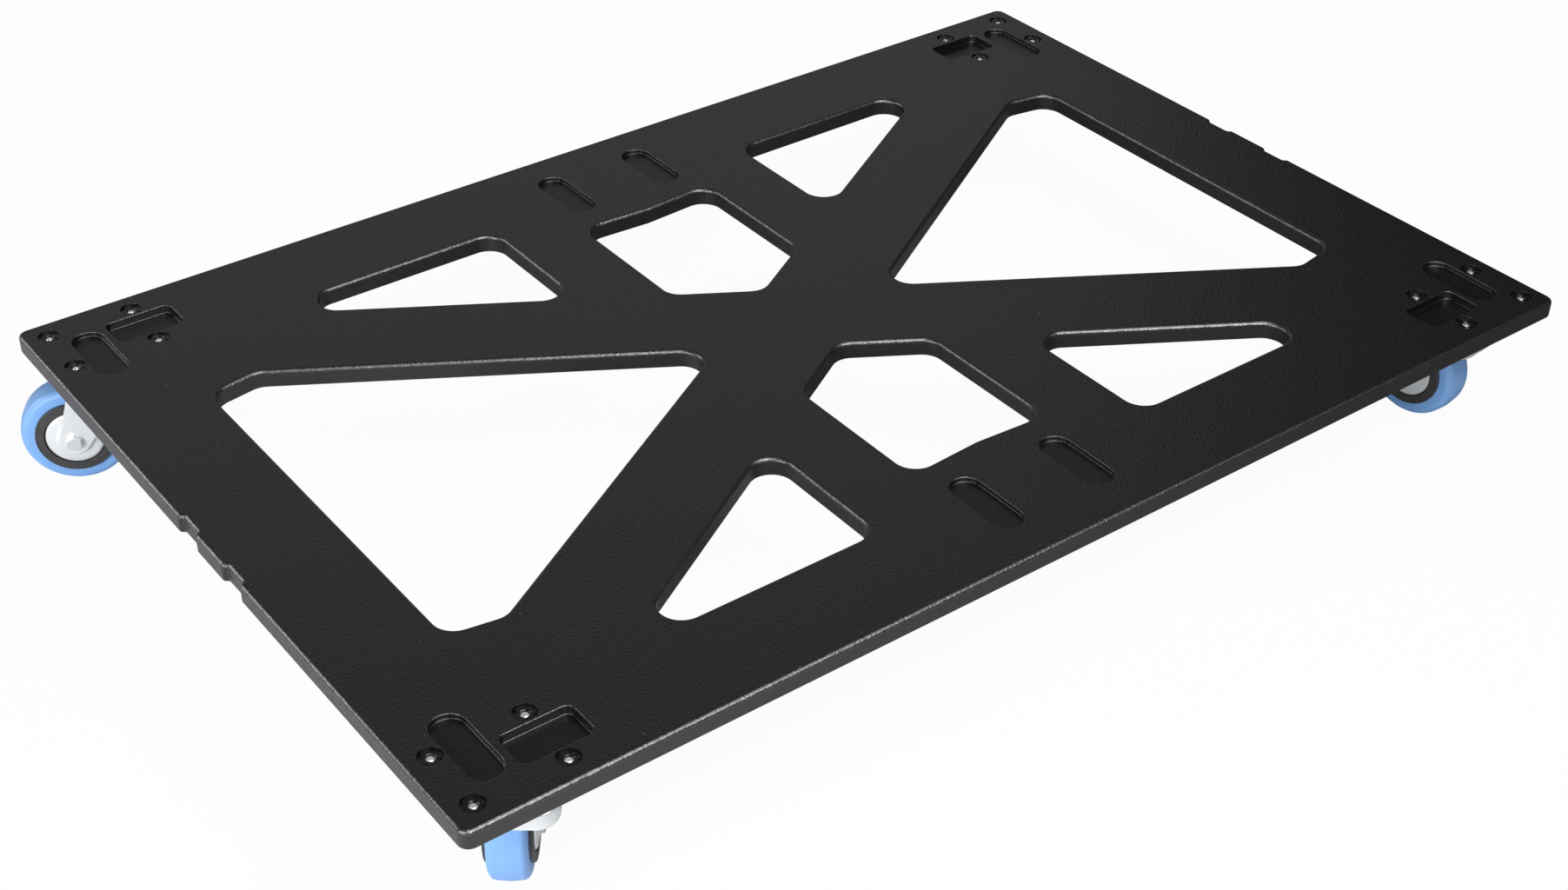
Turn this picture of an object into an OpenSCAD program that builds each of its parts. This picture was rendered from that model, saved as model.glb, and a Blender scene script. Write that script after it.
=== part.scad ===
// Transport board on four swivel casters.
// Origin: centre of the deck's top face. X runs along the long side, Z points up.

/* [Deck] */
// Length of the deck along X
deck_l = 1200; // [1100:1:1400]
// Width of the deck along Y
deck_w = 800; // [780:1:900]
// Thickness of the plywood
deck_t = 18; // [16.5:0.5:24]
// Radius of the deck's four corners in plan
deck_corner_r = 10; // [6:0.5:20]
// Radius of the rounded top and bottom edges, also round the cut-outs
deck_edge_r = 3; // [1.5:0.25:3.5]
// Width of the two diagonal bars that cross in the middle
brace_w = 100; // [80:1:120]
// Rise of a diagonal bar for each unit along X
brace_rise = 0.6; // [0.56:0.005:0.64]
// Fillet radius in the corners of the cut-outs
cutout_r = 20; // [12:1:24]

/* [End cut-outs] */
// Distance from the centre to the outer wall of the end cut-outs
end_wall_x = 500; // [490:1:520]
// Where the sloping short wall leaves the diagonal bar, along X
end_shoulder_x = 450; // [430:1:460]
// Half height of the outer wall of the end cut-outs
end_shoulder_y = 203.5; // [195:0.5:215]

/* [Side cut-outs] */
// Distance from the centre to the wall of the corner triangles, along X
tri_wall_x = 150; // [140:1:180]
// Distance from the centre to the wall of the corner triangles, along Y
tri_wall_y = 300; // [290:1:310]
// Half width of the middle cut-outs
mid_half_w = 75; // [65:1:85]
// Distance from the centre to the bowed outer wall of the middle cut-outs
mid_wall_y = 250; // [240:1:260]
// Radius of that bowed wall
mid_bow_r = 425; // [350:5:600]

/* [Edge notches] */
// Distance of each strap notch from the middle of the short edge
notch_y = 40; // [32:1:80]
// Width of a notch between the starts of its two ends
notch_w = 36; // [30:1:50]
// Depth of a notch
notch_d = 4; // [2:0.5:6]
// Radius of the curves at the ends of a notch
notch_r = 4; // [4:0.5:6]

/* [Pockets] */
// Length of the rectangular pockets along X
pocket_l = 64; // [50:1:66]
// Width of the rectangular pockets along Y
pocket_w = 37; // [30:1:37.5]
// Corner radius of the rectangular pockets
pocket_r = 7; // [4:0.5:12]
// Depth of the rectangular pockets
pocket_d = 8.5; // [6:0.5:12]
// Length of the stadium pockets along Y
slot_l = 80; // [70:1:86]
// Width of the stadium pockets along X
slot_w = 30; // [24:1:30]
// Depth of the stadium pockets
slot_d = 5; // [3:0.5:8]
// Distance from the centre to the outer stadium pockets along X
slot_outer_x = 551.5; // [551:0.5:552]
// Distance from the centre to the inner stadium pockets along X
slot_inner_x = 51; // [40:1:70]
// Distance from the centre to the stadium pockets along Y
slot_y = 322.5; // [320:0.5:335]
// Chamfer round the mouths of the pockets
pocket_chamfer = 0.6; // [0.2:0.1:0.8]

/* [Caster plates] */
// Length of a top plate along X
plate_l = 105; // [100:1:110]
// Width of a top plate along Y
plate_w = 85; // [80:1:90]
// Thickness of a top plate
plate_t = 3; // [2.5:0.25:4]
// Corner radius of a top plate
plate_r = 8; // [5:0.5:11]
// Gap between a top plate and the deck's short edge
plate_inset_x = 10; // [8:0.5:14]
// Gap between a top plate and the deck's long edge
plate_inset_y = 11.5; // [10:0.5:16]
// Hole spacing of a top plate along X
hole_dx = 80; // [78:0.5:82]
// Hole spacing of a top plate along Y
hole_dy = 60; // [60:0.5:63]
// Radius of the holes in a top plate
plate_hole_r = 4.5; // [4.3:0.05:5]

/* [Fasteners] */
// Shank radius of the plate bolts
bolt_r = 3.95; // [3.5:0.05:4.1]
// Length of a plate bolt under its head
bolt_l = 20; // [18:0.5:21]
// Width across the flats of a plate bolt's head
bolt_af = 13; // [12:0.5:14]
// Height of a plate bolt's head
bolt_head_h = 5.3; // [4:0.1:5.6]
// Radius of a plate washer
washer_r = 8; // [7.5:0.25:9]
// Thickness of a plate washer
washer_t = 1.6; // [1:0.1:1.8]
// Radial clearance of a plate washer on its bolt
washer_gap = 0.25; // [0.1:0.05:0.5]
// Radius of the flange of a T-nut
tnut_flange_r = 9.75; // [9:0.05:10.5]
// Thickness of the flange of a T-nut
tnut_flange_t = 1.2; // [1:0.1:1.8]
// Radius of the barrel of a T-nut
tnut_barrel_r = 5; // [4.8:0.05:6]
// Length of the barrel of a T-nut
tnut_barrel_l = 11; // [9:0.5:12]
// Width of the cuts that the prongs leave in a T-nut's flange
tnut_cut_w = 3.2; // [2.5:0.1:4]
// Length of those cuts from the rim
tnut_cut_l = 3; // [2:0.1:3.5]
// Depth of the recess that takes a T-nut's flange
recess_d = 3; // [2:0.25:4]

/* [Swivel bearing] */
// Radius of the kingpin
kingpin_r = 6; // [5:0.1:7]
// Radius of the kingpin's two heads
kingpin_head_r = 10; // [8.5:0.25:12]
// Thickness of the kingpin's upper head
kingpin_top_t = 1.5; // [1:0.1:2]
// Thickness of the kingpin's lower head
kingpin_head_t = 3.5; // [2.5:0.25:5]
// Radius of the bearing balls
ball_r = 2.6; // [2:0.1:3]
// Pitch radius of the upper row of balls
upper_pitch_r = 20; // [18:0.5:21]
// Pitch radius of the lower row of balls
lower_pitch_r = 15; // [13.5:0.5:16]
// Number of balls in the upper row
upper_balls = 20; // [12:1:20]
// Number of balls in the lower row
lower_balls = 14; // [8:1:14]
// Height of the race pressed out of the top plate
race_h = 2.2; // [1.5:0.1:3]
// Radial width of a race outside the ball pitch
race_w = 4.5; // [4:0.25:5]
// Thickness of the lower race
lower_race_t = 2.5; // [2:0.25:3]
// Radial thickness of the dust ring
dust_ring_w = 3; // [2:0.25:4]

/* [Fork] */
// Half width of the hood across the wheel
hood_half_w = 43.5; // [40:0.5:46]
// Reach of the hood ahead of the kingpin
hood_front = 30; // [28:0.5:34]
// Reach of the hood behind the kingpin
hood_rear = 35; // [33:0.5:36]
// Corner radius of the hood in plan
hood_corner_r = 18; // [12:0.5:22]
// Radius of the hood's top edge
hood_edge_r = 4; // [2:0.25:6]
// Depth of the hood's skirt below its top face
hood_skirt = 16; // [12:0.5:16.5]
// Width of the arch for the wheel in the hood's rear wall
hood_arch_w = 56; // [51:1:60]
// Height of that arch
hood_arch_h = 8; // [6:0.5:10]
// Sheet thickness of the fork
fork_t = 3; // [2.5:0.25:3.5]
// Clear width between the fork's legs
fork_gap = 45; // [44.5:0.5:48]
// Distance of the axle behind the kingpin
trail = 39; // [36:0.5:42]
// Radius of the rounded foot of a leg
leg_foot_r = 14; // [12:0.5:16]
// How far a leg's rear edge stands behind the hood at the end of its skirt
leg_flare = 1.5; // [0.5:0.25:3]

/* [Wheel] */
// Radius of the wheel
wheel_r = 50; // [48:0.5:51]
// Height of the whole caster from the deck to the floor
caster_h = 128; // [126:0.5:135]
// Width of the tyre
tyre_w = 32; // [28:0.5:34]
// Rounding radius of the tyre's shoulders
shoulder_r = 6.5; // [4:0.5:8]
// Rise of the tyre's crown above the start of its shoulders
crown_rise = 0.8; // [0.2:0.1:1.5]
// Outer radius of the wheel core where it shows beside the tyre
core_r = 36; // [34:0.5:40]
// Width of the wheel core
core_w = 39; // [37:0.5:40]
// Radius of the recess in each side of the core
core_recess_r = 28; // [27:0.25:30]
// Depth of the recess in each side of the core
core_recess_d = 3; // [2:0.25:4]
// Outer radius of the ball bearings
bearing_r = 16; // [13:0.5:18]
// Width of a ball bearing
bearing_w = 10; // [7:0.5:11]
// Radial width of the shelf in the core that the bearings stop at
bearing_shelf = 3; // [2:0.25:4]
// Outer radius of the axle sleeve
sleeve_r = 6; // [5.5:0.1:7]
// Radius of the thread guards
guard_r = 26.5; // [24:0.5:26.75]
// Sheet thickness of a thread guard
guard_t = 1.2; // [0.8:0.1:1.5]
// Radius of the flat seat in the middle of a thread guard
guard_seat_r = 13; // [11:0.5:16]
// Radius of the axle bolt
axle_r = 4; // [3.5:0.1:4.5]
// Width across the flats of the axle bolt's head and nut
axle_af = 13; // [12:0.5:14]
// Height of the axle bolt's head
axle_head_h = 5.3; // [4:0.1:6.5]
// Height of the axle nut
axle_nut_h = 6.8; // [5:0.1:8]
// Length of thread that stands out of the axle nut
axle_stub = 3; // [1:0.25:5]

/* [Rest angles] */
// Direction of the rear left wheel from its kingpin
turn_rear_left = 152; // [0:1:359]
// Direction of the front left wheel from its kingpin
turn_front_left = 53; // [0:1:359]
// Direction of the front right wheel from its kingpin
turn_front_right = 95; // [0:1:359]
// Direction of the rear right wheel from its kingpin
turn_rear_right = 160; // [0:1:359]

/* [Hidden] */
// Radial clearance of a piece that turns on a shaft
running_gap = 0.05;
// Radial clearance of a piece that is pressed or screwed in place
seat_gap = 0.05;
// Clearance between faces that pass each other
face_gap = 0.3;
// Clearance of a T-nut's flange in its recess
recess_gap = 0.25;
// Wall left between the dust ring and the race
dust_gap = 1;
// How far a cut runs past a face
past = 1;
// Largest turn from one point of a faceted arc to the next
arc_step = 20;
// Facets along a quarter of a rounded edge
edge_steps = 2;
// Facets on true circles
round_fn = 48;
// Facets on the bearing balls
ball_fn = 20;
// Facets on small screws and holes
small_fn = 24;

// Distance between a diagonal bar's centre line and its edge, along Y
brace_off = brace_w / 2 * sqrt(1 + brace_rise * brace_rise);
// Depths below the deck's bottom face
race_face = plate_t + race_h;
hood_top = race_face + 2 * face_gap + 2 * ball_r;
hood_under = hood_top + fork_t;
lower_race_top = hood_under + 2 * face_gap + 2 * ball_r;
lower_race_end = lower_race_top + lower_race_t;
hood_end = hood_top + hood_skirt;
axle_depth = caster_h - wheel_r;
// Half distances across the wheel
leg_in = fork_gap / 2;
leg_out = leg_in + fork_t;
core_face = core_w / 2;
recess_face = core_face - core_recess_d;
guard_seat = leg_in - guard_t;
guard_rim = recess_face + face_gap;
// Bore radii
kingpin_hole_r = kingpin_r + running_gap;
bearing_bore_r = sleeve_r + running_gap;
axle_hole_r = axle_r + seat_gap;
tnut_bore_r = bolt_r + seat_gap;
recess_r = tnut_flange_r + recess_gap;
dust_in_r = upper_pitch_r + race_w + dust_gap;
// Height of a hexagon's circle above its flat
hex_ratio = 1 / cos(30);

caster_x = deck_l / 2 - plate_inset_x - plate_l / 2;
caster_y = deck_w / 2 - plate_inset_y - plate_w / 2;
// Each caster: side along X, side along Y, direction of its wheel
rear_left = [-1, 1, turn_rear_left];
front_left = [-1, -1, turn_front_left];
front_right = [1, -1, turn_front_right];
rear_right = [1, 1, turn_rear_right];
casters = [rear_left, front_left, front_right, rear_right];

black_paint = [0.13, 0.13, 0.14];
dark_steel = [0.1, 0.1, 0.1];
zinc = [0.82, 0.84, 0.86];
pale_zinc = [0.9, 0.92, 0.93];
hub_black = [0.2, 0.2, 0.2];
tyre_blue = [0.5, 0.72, 0.98];
ball_steel = [0.7, 0.7, 0.72];

// Rounded outlines. An outline is a list of [centre, radius], taken anticlockwise.
// A radius below zero makes an arc that bows into the outline.
function unit(v) = v / norm(v);
function clamp1(x) = min(1, max(-1, x));
function wrap(a) = a - 360 * floor(a / 360);
function item(list, i) = list[(i + len(list)) % len(list)];

// Direction of the outward normal on the line that joins arc a to arc b
function joint_normal(a, b) =
    let (d = b[0] - a[0])
    atan2(d[1], d[0]) - acos(clamp1((a[1] - b[1]) / norm(d)));

// Turn of the normal along arc i, below zero for an arc that bows inwards
function arc_turn(outline, i) =
    let (
        from = joint_normal(item(outline, i - 1), item(outline, i)),
        to = joint_normal(item(outline, i), item(outline, i + 1))
    )
    outline[i][1] > 0 ? wrap(to - from) : -wrap(from - to);

// Points of the outline, moved outwards by grow
function outline_points(outline, grow = 0) = [
    for (i = [0:len(outline) - 1])
        let (
            from = joint_normal(item(outline, i - 1), item(outline, i)),
            turn = arc_turn(outline, i),
            steps = max(1, ceil(abs(turn) / arc_step))
        )
        for (k = [0:steps])
            let (a = from + turn * k / steps)
            outline[i][0] + (outline[i][1] + grow) * [cos(a), sin(a)]
];

// Outline of a convex polygon with every corner rounded by r
function rounded(corners, r) = [
    for (i = [0:len(corners) - 1])
        let (
            back = unit(item(corners, i - 1) - corners[i]),
            ahead = unit(item(corners, i + 1) - corners[i]),
            half = acos(clamp1(back * ahead)) / 2
        )
        [corners[i] + unit(back + ahead) * r / sin(half), r]
];

function rounded_rectangle(l, w, r) =
    rounded([[l / 2, -w / 2], [l / 2, w / 2], [-l / 2, w / 2], [-l / 2, -w / 2]], r);

// Solid through one outline, with levels of [height, growth] from the lowest up
module lofted(outline, levels) {
    rings = [for (l = levels) outline_points(outline, l[1])];
    n = len(rings[0]);
    polyhedron(
        points = [
            for (j = [0:len(levels) - 1])
                for (p = rings[j])
                    [p[0], p[1], levels[j][0]]
        ],
        faces = concat(
            [[for (i = [0:n - 1]) i]],
            [[for (i = [0:n - 1]) len(levels) * n - 1 - i]],
            [
                for (j = [0:len(levels) - 2])
                    for (i = [0:n - 1])
                        [j * n + i, (j + 1) * n + i, (j + 1) * n + (i + 1) % n, j * n + (i + 1) % n]
            ]
        )
    );
}

// Angles of the points on a rounded edge
edge_angles = [for (i = [0:edge_steps]) 90 * i / edge_steps];

// Slab from height low to high, with its edges rounded by r
module rounded_slab(outline, low, high, r) {
    bottom = [for (a = edge_angles) [low + r * (1 - cos(a)), r * (sin(a) - 1)]];
    top = [for (a = edge_angles) [high - r * (1 - sin(a)), r * (cos(a) - 1)]];
    lofted(outline, concat(bottom, top));
}

// Cut from height low to high that leaves rounded edges of radius r on both faces
module through_cut(outline, low, high, r) {
    bottom = [for (a = edge_angles) [low + r * (1 - cos(a)), r * (1 - sin(a))]];
    top = [for (a = edge_angles) [high - r * (1 - sin(a)), r * (1 - cos(a))]];
    lofted(outline, concat([[low - past, r]], bottom, top, [[high + past, r]]));
}

// Pocket of depth d below height zero with a chamfered mouth
module pocket_cut(outline, d) {
    lofted(outline, [[-d, 0], [-pocket_chamfer, 0], [past, pocket_chamfer + past]]);
}

module prism(outline, low, high) {
    translate([0, 0, low])
        linear_extrude(height = high - low)
            polygon(outline_points(outline));
}

// Half the deck's outline, from one corner round the short edge to the next
notch_turn = acos(1 - notch_d / (2 * notch_r));
notch_run = 2 * notch_r * sin(notch_turn);
function notch_outline(y) = [
    [[deck_l / 2 - notch_r, y - notch_w / 2], notch_r],
    [[deck_l / 2 - notch_d + notch_r, y - notch_w / 2 + notch_run], -notch_r],
    [[deck_l / 2 - notch_d + notch_r, y + notch_w / 2 - notch_run], -notch_r],
    [[deck_l / 2 - notch_r, y + notch_w / 2], notch_r]
];
function deck_corner(side) =
    [[deck_l / 2 - deck_corner_r, side * (deck_w / 2 - deck_corner_r)], deck_corner_r];
deck_half = concat([deck_corner(-1)], notch_outline(-notch_y), notch_outline(notch_y), [deck_corner(1)]);
deck_outline = concat(deck_half, [for (c = deck_half) [-c[0], c[1]]]);

// Cut-out between two bars at the end of the deck
end_corners = [
    [brace_off / brace_rise, 0],
    [end_shoulder_x, brace_off - brace_rise * end_shoulder_x],
    [end_wall_x, -end_shoulder_y],
    [end_wall_x, end_shoulder_y],
    [end_shoulder_x, brace_rise * end_shoulder_x - brace_off]
];

// Triangle between a bar, the middle wall and the long rail
tri_corners = [
    [tri_wall_x, brace_rise * tri_wall_x + brace_off],
    [(tri_wall_y - brace_off) / brace_rise, tri_wall_y],
    [tri_wall_x, tri_wall_y]
];

// House shape over the crossing, with its outer wall bowed inwards
mid_corners = [
    [0, brace_off],
    [mid_half_w, brace_rise * mid_half_w + brace_off],
    [mid_half_w, mid_wall_y],
    [-mid_half_w, mid_wall_y],
    [-mid_half_w, brace_rise * mid_half_w + brace_off]
];
mid_base = rounded(mid_corners, cutout_r);
mid_bow_centre = [0, mid_wall_y + mid_bow_r];
mid_top_x = mid_half_w - cutout_r;
mid_top_y = mid_bow_centre[1] - sqrt(pow(mid_bow_r + cutout_r, 2) - pow(mid_top_x, 2));
mid_outline = [
    mid_base[0],
    mid_base[1],
    [[mid_top_x, mid_top_y], cutout_r],
    [mid_bow_centre, -mid_bow_r],
    [[-mid_top_x, mid_top_y], cutout_r],
    mid_base[4]
];

// Puts children at the four corners that mirror each other
module four_corners(x, y) {
    for (sx = [-1, 1])
        for (sy = [-1, 1])
            translate([sx * x, sy * y, 0])
                children();
}

// Puts children at every bolt position of the four top plates
module bolt_places() {
    four_corners(caster_x, caster_y)
        four_corners(hole_dx / 2, hole_dy / 2)
            children();
}

module deck_cutouts() {
    for (turn = [0, 180])
        rotate([0, 0, turn]) {
            through_cut(rounded(end_corners, cutout_r), -deck_t, 0, deck_edge_r);
            through_cut(mid_outline, -deck_t, 0, deck_edge_r);
        }
    for (side = [0, 1])
        for (turn = [0, 180])
            mirror([side, 0, 0])
                rotate([0, 0, turn])
                    through_cut(rounded(tri_corners, cutout_r), -deck_t, 0, deck_edge_r);
}

module deck_pockets() {
    four_corners(caster_x - hole_dx / 2, caster_y)
        pocket_cut(rounded_rectangle(pocket_l, pocket_w, pocket_r), pocket_d);
    for (x = [slot_inner_x, slot_outer_x])
        four_corners(x, slot_y)
            pocket_cut([
                [[0, -(slot_l - slot_w) / 2], slot_w / 2],
                [[0, (slot_l - slot_w) / 2], slot_w / 2]
            ], slot_d);
}

module deck() {
    color(black_paint)
        difference() {
            rounded_slab(deck_outline, -deck_t, 0, deck_edge_r);
            deck_cutouts();
            deck_pockets();
            bolt_places() {
                translate([0, 0, -recess_d])
                    cylinder(h = recess_d + past, r = recess_r, $fn = round_fn);
                translate([0, 0, -recess_d - tnut_barrel_l - past])
                    cylinder(h = tnut_barrel_l + 2 * past, r = tnut_barrel_r + seat_gap, $fn = small_fn);
                translate([0, 0, -deck_t - past])
                    cylinder(h = deck_t, r = plate_hole_r, $fn = small_fn);
            }
        }
}

module t_nut() {
    difference() {
        union() {
            translate([0, 0, -recess_d])
                cylinder(h = tnut_flange_t, r = tnut_flange_r, $fn = round_fn);
            translate([0, 0, -recess_d - tnut_barrel_l])
                cylinder(h = tnut_barrel_l + tnut_flange_t, r = tnut_barrel_r, $fn = small_fn);
        }
        translate([0, 0, -recess_d - tnut_barrel_l - past])
            cylinder(h = tnut_barrel_l + tnut_flange_t + 2 * past, r = tnut_bore_r, $fn = small_fn);
        for (a = [45:90:315])
            rotate([0, 0, a])
                translate([tnut_flange_r - tnut_cut_l, -tnut_cut_w / 2, -recess_d - past])
                    cube([tnut_cut_l + past, tnut_cut_w, tnut_flange_t + 2 * past]);
    }
}

module t_nuts() {
    color(dark_steel)
        bolt_places()
            t_nut();
}

module plate_bolts() {
    under = -deck_t - plate_t - washer_t;
    color(zinc)
        bolt_places() {
            translate([0, 0, under])
                cylinder(h = bolt_l, r = bolt_r, $fn = small_fn);
            translate([0, 0, under - bolt_head_h])
                cylinder(h = bolt_head_h, r = bolt_af / 2 * hex_ratio, $fn = 6);
        }
}

module plate_washers() {
    color(zinc)
        bolt_places()
            translate([0, 0, -deck_t - plate_t - washer_t])
                difference() {
                    cylinder(h = washer_t, r = washer_r, $fn = round_fn);
                    translate([0, 0, -past])
                        cylinder(h = washer_t + 2 * past, r = bolt_r + washer_gap, $fn = small_fn);
                }
}

// Puts children under the deck at a caster, with height zero at the deck's bottom face
module at_caster(c) {
    translate([c[0] * caster_x, c[1] * caster_y, -deck_t])
        children();
}

// The same, turned so that +X points from the kingpin to the axle
module swivelled(c) {
    at_caster(c)
        rotate([0, 0, c[2]])
            children();
}

// The same, with height zero on the axle and Z along it
module on_axle(c) {
    swivelled(c)
        translate([trail, 0, -axle_depth])
            rotate([-90, 0, 0])
                children();
}

// Ring from depth top to depth end
module ring(top, end, r_out, r_in) {
    translate([0, 0, -end])
        difference() {
            cylinder(h = end - top, r = r_out, $fn = round_fn);
            translate([0, 0, -past])
                cylinder(h = end - top + 2 * past, r = r_in, $fn = round_fn);
        }
}

module top_plate(c) {
    color(zinc)
        at_caster(c)
            difference() {
                union() {
                    prism(rounded_rectangle(plate_l, plate_w, plate_r), -plate_t, 0);
                    ring(plate_t / 2, race_face, upper_pitch_r + race_w, upper_pitch_r - race_w);
                }
                four_corners(hole_dx / 2, hole_dy / 2)
                    translate([0, 0, -plate_t - past])
                        cylinder(h = plate_t + 2 * past, r = plate_hole_r, $fn = small_fn);
                translate([0, 0, -plate_t - past])
                    cylinder(h = plate_t + 2 * past, r = kingpin_r + seat_gap, $fn = round_fn);
                translate([0, 0, -kingpin_top_t])
                    cylinder(h = kingpin_top_t + past, r = kingpin_head_r + seat_gap, $fn = round_fn);
            }
}

module kingpin(c) {
    color(pale_zinc)
        at_caster(c) {
            translate([0, 0, -lower_race_end])
                cylinder(h = lower_race_end, r = kingpin_r, $fn = round_fn);
            translate([0, 0, -kingpin_top_t])
                cylinder(h = kingpin_top_t, r = kingpin_head_r, $fn = round_fn);
            translate([0, 0, -lower_race_end - kingpin_head_t])
                cylinder(h = kingpin_head_t, r = kingpin_head_r, $fn = round_fn);
        }
}

module lower_race(c) {
    color(zinc)
        at_caster(c)
            ring(lower_race_top, lower_race_end, lower_pitch_r + race_w, kingpin_r + seat_gap);
}

module ball_row(count, pitch, depth) {
    for (i = [0:count - 1])
        rotate([0, 0, 360 * i / count])
            translate([pitch, 0, -depth])
                sphere(r = ball_r, $fn = ball_fn);
}

module race_balls(c) {
    color(ball_steel)
        swivelled(c) {
            ball_row(upper_balls, upper_pitch_r, race_face + face_gap + ball_r);
            ball_row(lower_balls, lower_pitch_r, hood_under + face_gap + ball_r);
        }
}

module dust_ring(c) {
    color(hub_black)
        swivelled(c)
            ring(plate_t + face_gap, hood_top, dust_in_r + dust_ring_w, dust_in_r);
}

// Outline of a leg seen from the side, with X along the trail and Y up
leg_outline = [
    [[-hood_front + 2 * fork_t, -hood_top - fork_t], fork_t / 2],
    [[trail, -axle_depth], leg_foot_r],
    [[hood_rear + leg_flare, -hood_end], fork_t / 2],
    [[hood_rear - fork_t, -hood_top - fork_t], fork_t / 2]
];

hood_outline = rounded([
    [hood_rear, -hood_half_w],
    [hood_rear, hood_half_w],
    [-hood_front, hood_half_w],
    [-hood_front, -hood_half_w]
], hood_corner_r);

// Upper edge rounded, lower edge square
module hood_shell() {
    difference() {
        lofted(hood_outline, concat(
            [[-hood_end, 0]],
            [for (a = edge_angles) [-hood_top - hood_edge_r * (1 - sin(a)), hood_edge_r * (cos(a) - 1)]]
        ));
        lofted(hood_outline, [
            [-hood_end - past, -fork_t],
            [-hood_under - hood_edge_r + fork_t, -fork_t],
            [-hood_under, -hood_edge_r]
        ]);
        translate([hood_rear - hood_corner_r, -hood_arch_w / 2, -hood_end - past])
            cube([hood_corner_r + past, hood_arch_w, hood_arch_h + past]);
    }
}

module fork(c) {
    color(pale_zinc)
        swivelled(c)
            difference() {
                union() {
                    hood_shell();
                    for (side = [-1, 1])
                        translate([0, side * (leg_in + fork_t / 2) + fork_t / 2, 0])
                            rotate([90, 0, 0])
                                linear_extrude(height = fork_t)
                                    polygon(outline_points(leg_outline));
                }
                translate([0, 0, -hood_under - past])
                    cylinder(h = fork_t + 2 * past, r = kingpin_hole_r, $fn = round_fn);
                translate([trail, leg_out + past, -axle_depth])
                    rotate([90, 0, 0])
                        cylinder(h = 2 * leg_out + 2 * past, r = axle_hole_r, $fn = small_fn);
            }
}

module axle_bolt(c) {
    color(zinc)
        on_axle(c) {
            translate([0, 0, -leg_out - axle_nut_h - axle_stub])
                cylinder(h = 2 * leg_out + axle_nut_h + axle_stub, r = axle_r, $fn = small_fn);
            translate([0, 0, leg_out])
                cylinder(h = axle_head_h, r = axle_af / 2 * hex_ratio, $fn = 6);
        }
}

module axle_nut(c) {
    color(zinc)
        on_axle(c)
            translate([0, 0, -leg_out - axle_nut_h])
                difference() {
                    cylinder(h = axle_nut_h, r = axle_af / 2 * hex_ratio, $fn = 6);
                    translate([0, 0, -past])
                        cylinder(h = axle_nut_h + 2 * past, r = axle_r + seat_gap, $fn = small_fn);
                }
}

// Solid of revolution round the axle from points of [radius, place along the axle]
module turned(points) {
    rotate_extrude($fn = round_fn)
        polygon(points);
}

module axle_sleeve(c) {
    color(ball_steel)
        on_axle(c)
            turned([
                [axle_hole_r, -leg_in],
                [sleeve_r, -leg_in],
                [sleeve_r, leg_in],
                [axle_hole_r, leg_in]
            ]);
}

module thread_guards(c) {
    bore = sleeve_r + seat_gap;
    color(pale_zinc)
        on_axle(c)
            for (side = [-1, 1])
                scale([1, 1, side])
                    turned([
                        [bore, guard_seat],
                        [guard_seat_r, guard_seat],
                        [guard_r - guard_t, guard_rim],
                        [guard_r, guard_rim],
                        [guard_r, guard_rim + guard_t],
                        [guard_seat_r + guard_t, leg_in],
                        [bore, leg_in]
                    ]);
}

module bearings(c) {
    color(ball_steel)
        on_axle(c)
            for (side = [-1, 1])
                translate([0, 0, side * (recess_face - bearing_w / 2) - bearing_w / 2])
                    turned([
                        [bearing_bore_r, 0],
                        [bearing_r, 0],
                        [bearing_r, bearing_w],
                        [bearing_bore_r, bearing_w]
                    ]);
}

module wheel_core(c) {
    bore = bearing_r + seat_gap;
    shelf = bearing_r - bearing_shelf;
    bearing_in = recess_face - bearing_w;
    color(hub_black)
        on_axle(c)
            turned([
                [bore, -recess_face],
                [core_recess_r, -recess_face],
                [core_recess_r, -core_face],
                [core_r, -core_face],
                [core_r, core_face],
                [core_recess_r, core_face],
                [core_recess_r, recess_face],
                [bore, recess_face],
                [bore, bearing_in],
                [shelf, bearing_in],
                [shelf, -bearing_in],
                [bore, -bearing_in]
            ]);
}

module tyre(c) {
    half = tyre_w / 2;
    bore = core_r + seat_gap;
    shoulder = half - shoulder_r;
    start_r = wheel_r - crown_rise;
    angles = [0:15:90];
    color(tyre_blue)
        on_axle(c)
            turned(concat(
                [[bore, -half]],
                [for (a = angles) [start_r - shoulder_r * (1 - sin(a)), -shoulder - shoulder_r * cos(a)]],
                [[wheel_r, -shoulder / 2], [wheel_r, shoulder / 2]],
                [for (a = angles) [start_r - shoulder_r * (1 - cos(a)), shoulder + shoulder_r * sin(a)]],
                [[bore, half]]
            ));
}

deck();
t_nuts();
plate_bolts();
plate_washers();

top_plate(rear_left);  // top_plate_rear_left
kingpin(rear_left);  // kingpin_rear_left
lower_race(rear_left);  // lower_race_rear_left
race_balls(rear_left);  // race_balls_rear_left
dust_ring(rear_left);  // dust_ring_rear_left
fork(rear_left);  // fork_rear_left
axle_bolt(rear_left);  // axle_bolt_rear_left
axle_nut(rear_left);  // axle_nut_rear_left
axle_sleeve(rear_left);  // axle_sleeve_rear_left
thread_guards(rear_left);  // thread_guards_rear_left
bearings(rear_left);  // bearings_rear_left
wheel_core(rear_left);  // wheel_core_rear_left
tyre(rear_left);  // tyre_rear_left

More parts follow.
